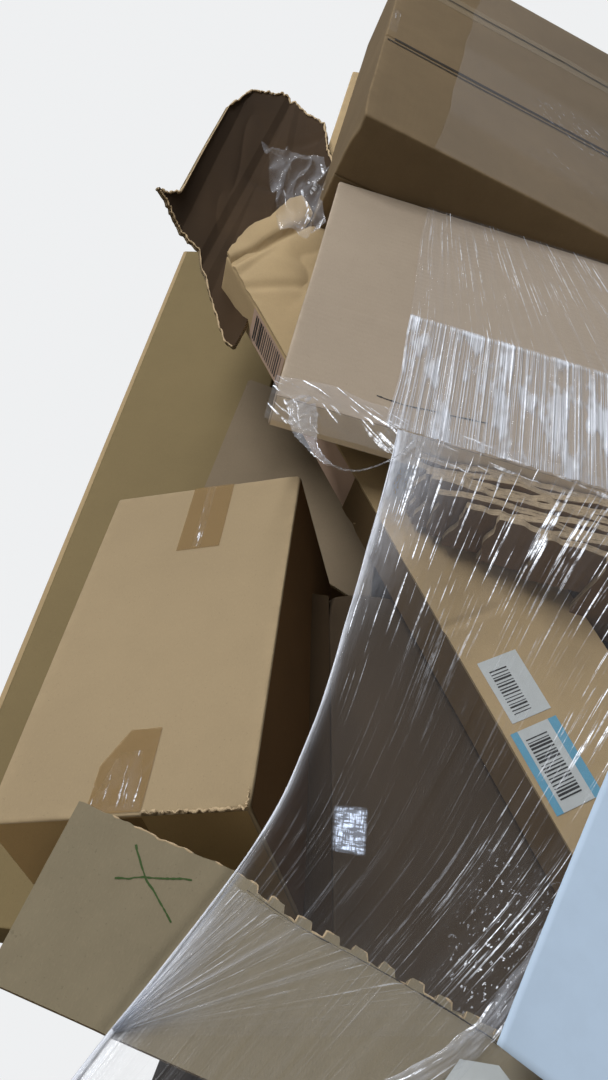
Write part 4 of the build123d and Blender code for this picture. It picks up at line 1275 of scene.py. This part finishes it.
LOOP = np.array([(-462, 1549), (-456, 1530), (-450, 1508), (-441, 1490), (-426, 1476), (-407, 1472),
                 (-387, 1483), (-368, 1504), (-357, 1526)]) * MM
steps = np.linspace(0, 1, 220)
knots = np.linspace(0, 1, len(LOOP))
kernel = np.ones(21) / 21
loop_x, loop_z = [np.convolve(np.pad(np.interp(steps, knots, LOOP[:, n]), 10, mode="edge"), kernel, "valid")
                  for n in (0, 1)]
t, w = lattice(steps, np.linspace(-1, 1, 14))
loop_width = (1.8 + 13.0 * smooth(0.50, 0.16, t) + 1.5 * noise2(t * 24, 0.0, 97)) * MM
loop_y = -0.488 + (w ** 2) * 1.5 * MM + ridges(t * 60, w * 2, 98) * 2.0 * MM
points = join(loop_x[:, None] + w * loop_width * 0.8, loop_y, loop_z[:, None] + w * loop_width * 0.6)
sheet_piece("film_loop", points, crinkled_film, join(w * 0.01, t * 0.25), 0.22)

v, u = lattice(np.linspace(0, 1, 90), np.linspace(0, 1, 70))
quad = np.array([(-0.583, 1.952), (-0.503, 1.985), (-0.487, 1.800), (-0.527, 1.806)])
x, z = within(quad, u, v)
x = x + noise2(v * 5, u * 2, 101) * 7 * MM
z = z + noise2(u * 5, v * 2, 102) * 8 * MM
y = -0.470 - ridges(u * 4 + v * 3, v * 5, 103) * 14 * MM + noise2(u * 4, v * 4, 104) * 8 * MM
sheet_piece("film_wad", join(x, y, z), wad_film, join(u * 0.08, v * 0.16), 0.05)

# Paper on the main wind, and a small cut label
paper = Box("paper_sheet")
v, u = lattice(np.linspace(0, paper.size[2], 60), np.linspace(0, paper.size[0], 50))
lift = 1.2 * MM * (0.5 + 0.5 * noise2(u * 14, v * 10, 105)) + 6 * MM * np.exp(-(u + v * 0.5) / 0.03)
paper_piece = sheet_piece("paper", paper.at(join(u, -lift, v)), paper_white, join(u, v), thickness=0.3 * MM)
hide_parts("paper_sheet")
LABEL = np.array([(-0.300, 1.062), (-0.288, 1.0800), (-0.266, 1.0815), (-0.257, 1.074), (-0.262, 1.040),
                  (-0.305, 1.038)])
depth = film_depth(LABEL[:, 0], LABEL[:, 1]) - 2.6 * MM
verts = join(LABEL[:, 0], depth, LABEL[:, 1])
new_mesh("cut_label", verts, [tuple(range(len(LABEL)))[::-1]], label_white)


# Floor, light and camera


def stage_plane(name, size, colour, bounced, glow):
    """A floor that the camera sees in one colour and other rays in a darker one."""
    bpy.ops.mesh.primitive_plane_add(size=size, location=(0, 0, -0.5 * MM))
    floor = bpy.context.object
    floor.name = name
    paint = Paint(name)
    seen = paint.node("LightPath").outputs["Is Camera Ray"]
    paint.finish(Base_Color=paint.mix(seen, linear(*bounced), linear(*colour)), Roughness=0.9,
                 Emission_Color=linear(*colour), Emission_Strength=paint.times(seen, glow))
    floor.data.materials.append(paint.material)


stage_plane("floor", 14.0, (226, 226, 224), (168, 160, 148), 0.4)

world = bpy.data.worlds.new("studio")
bpy.context.scene.world = world
world.use_nodes = True
tree = world.node_tree
tree.nodes.clear()
path = tree.nodes.new("ShaderNodeLightPath")
ambient = tree.nodes.new("ShaderNodeBackground")
ambient.inputs["Color"].default_value = (0.95, 0.97, 1.0, 1)
ambient.inputs["Strength"].default_value = 0.165
seen = tree.nodes.new("ShaderNodeBackground")
seen.inputs["Color"].default_value = (0.86, 0.87, 0.88, 1)
seen.inputs["Strength"].default_value = 1.0
choose = tree.nodes.new("ShaderNodeMixShader")
out = tree.nodes.new("ShaderNodeOutputWorld")
for index, output in enumerate((path.outputs["Is Camera Ray"], ambient.outputs[0], seen.outputs[0])):
    tree.links.new(output, choose.inputs[index])
tree.links.new(choose.outputs[0], out.inputs["Surface"])


def area_light(name, place, target, size, power, size_y=None):
    lamp = bpy.data.lights.new(name, "AREA")
    lamp.shape = "RECTANGLE"
    lamp.size = size
    lamp.size_y = size_y or size
    lamp.energy = power
    holder = bpy.data.objects.new(name, lamp)
    bpy.context.scene.collection.objects.link(holder)
    holder.location = place
    aim = Vector(target) - Vector(place)
    holder.rotation_mode = "QUATERNION"
    holder.rotation_quaternion = aim.to_track_quat("-Z", "Y")


area_light("key", (-2.3, -3.5, 2.2), (-0.35, -0.3, 1.5), 1.5, 106)
area_light("strip_left", (-1.4, -2.4, 4.6), (-0.3, -0.5, 1.4), 0.25, 29, 3.0)
area_light("fill", (2.6, -3.4, 2.0), (0.0, 0.0, 1.3), 2.4, 8)
area_light("back", (0.5, 3.6, 4.0), (0, 0.2, 1.2), 3.0, 70)

PIXELS_TALL = 1080.0
FOCAL_PIXELS = 848.0
camera_data = bpy.data.cameras.new("camera")
camera_data.sensor_width = 36.0
camera_data.lens = FOCAL_PIXELS / PIXELS_TALL * camera_data.sensor_width
camera_data.clip_start = 0.02
camera = bpy.data.objects.new("camera", camera_data)
bpy.context.scene.collection.objects.link(camera)
right_axis = Vector((0.9744, -0.1385, 0.1773)).normalized()
back_axis = Vector((0.0, -0.7880, -0.6157)).normalized()
up_axis = back_axis.cross(right_axis)
turn = Matrix((right_axis, up_axis, back_axis)).transposed().to_4x4()
camera.matrix_world = Matrix.Translation((-0.430, -0.990, 1.000)) @ turn
bpy.context.scene.camera = camera
bpy.context.scene.view_settings.view_transform = "Standard"
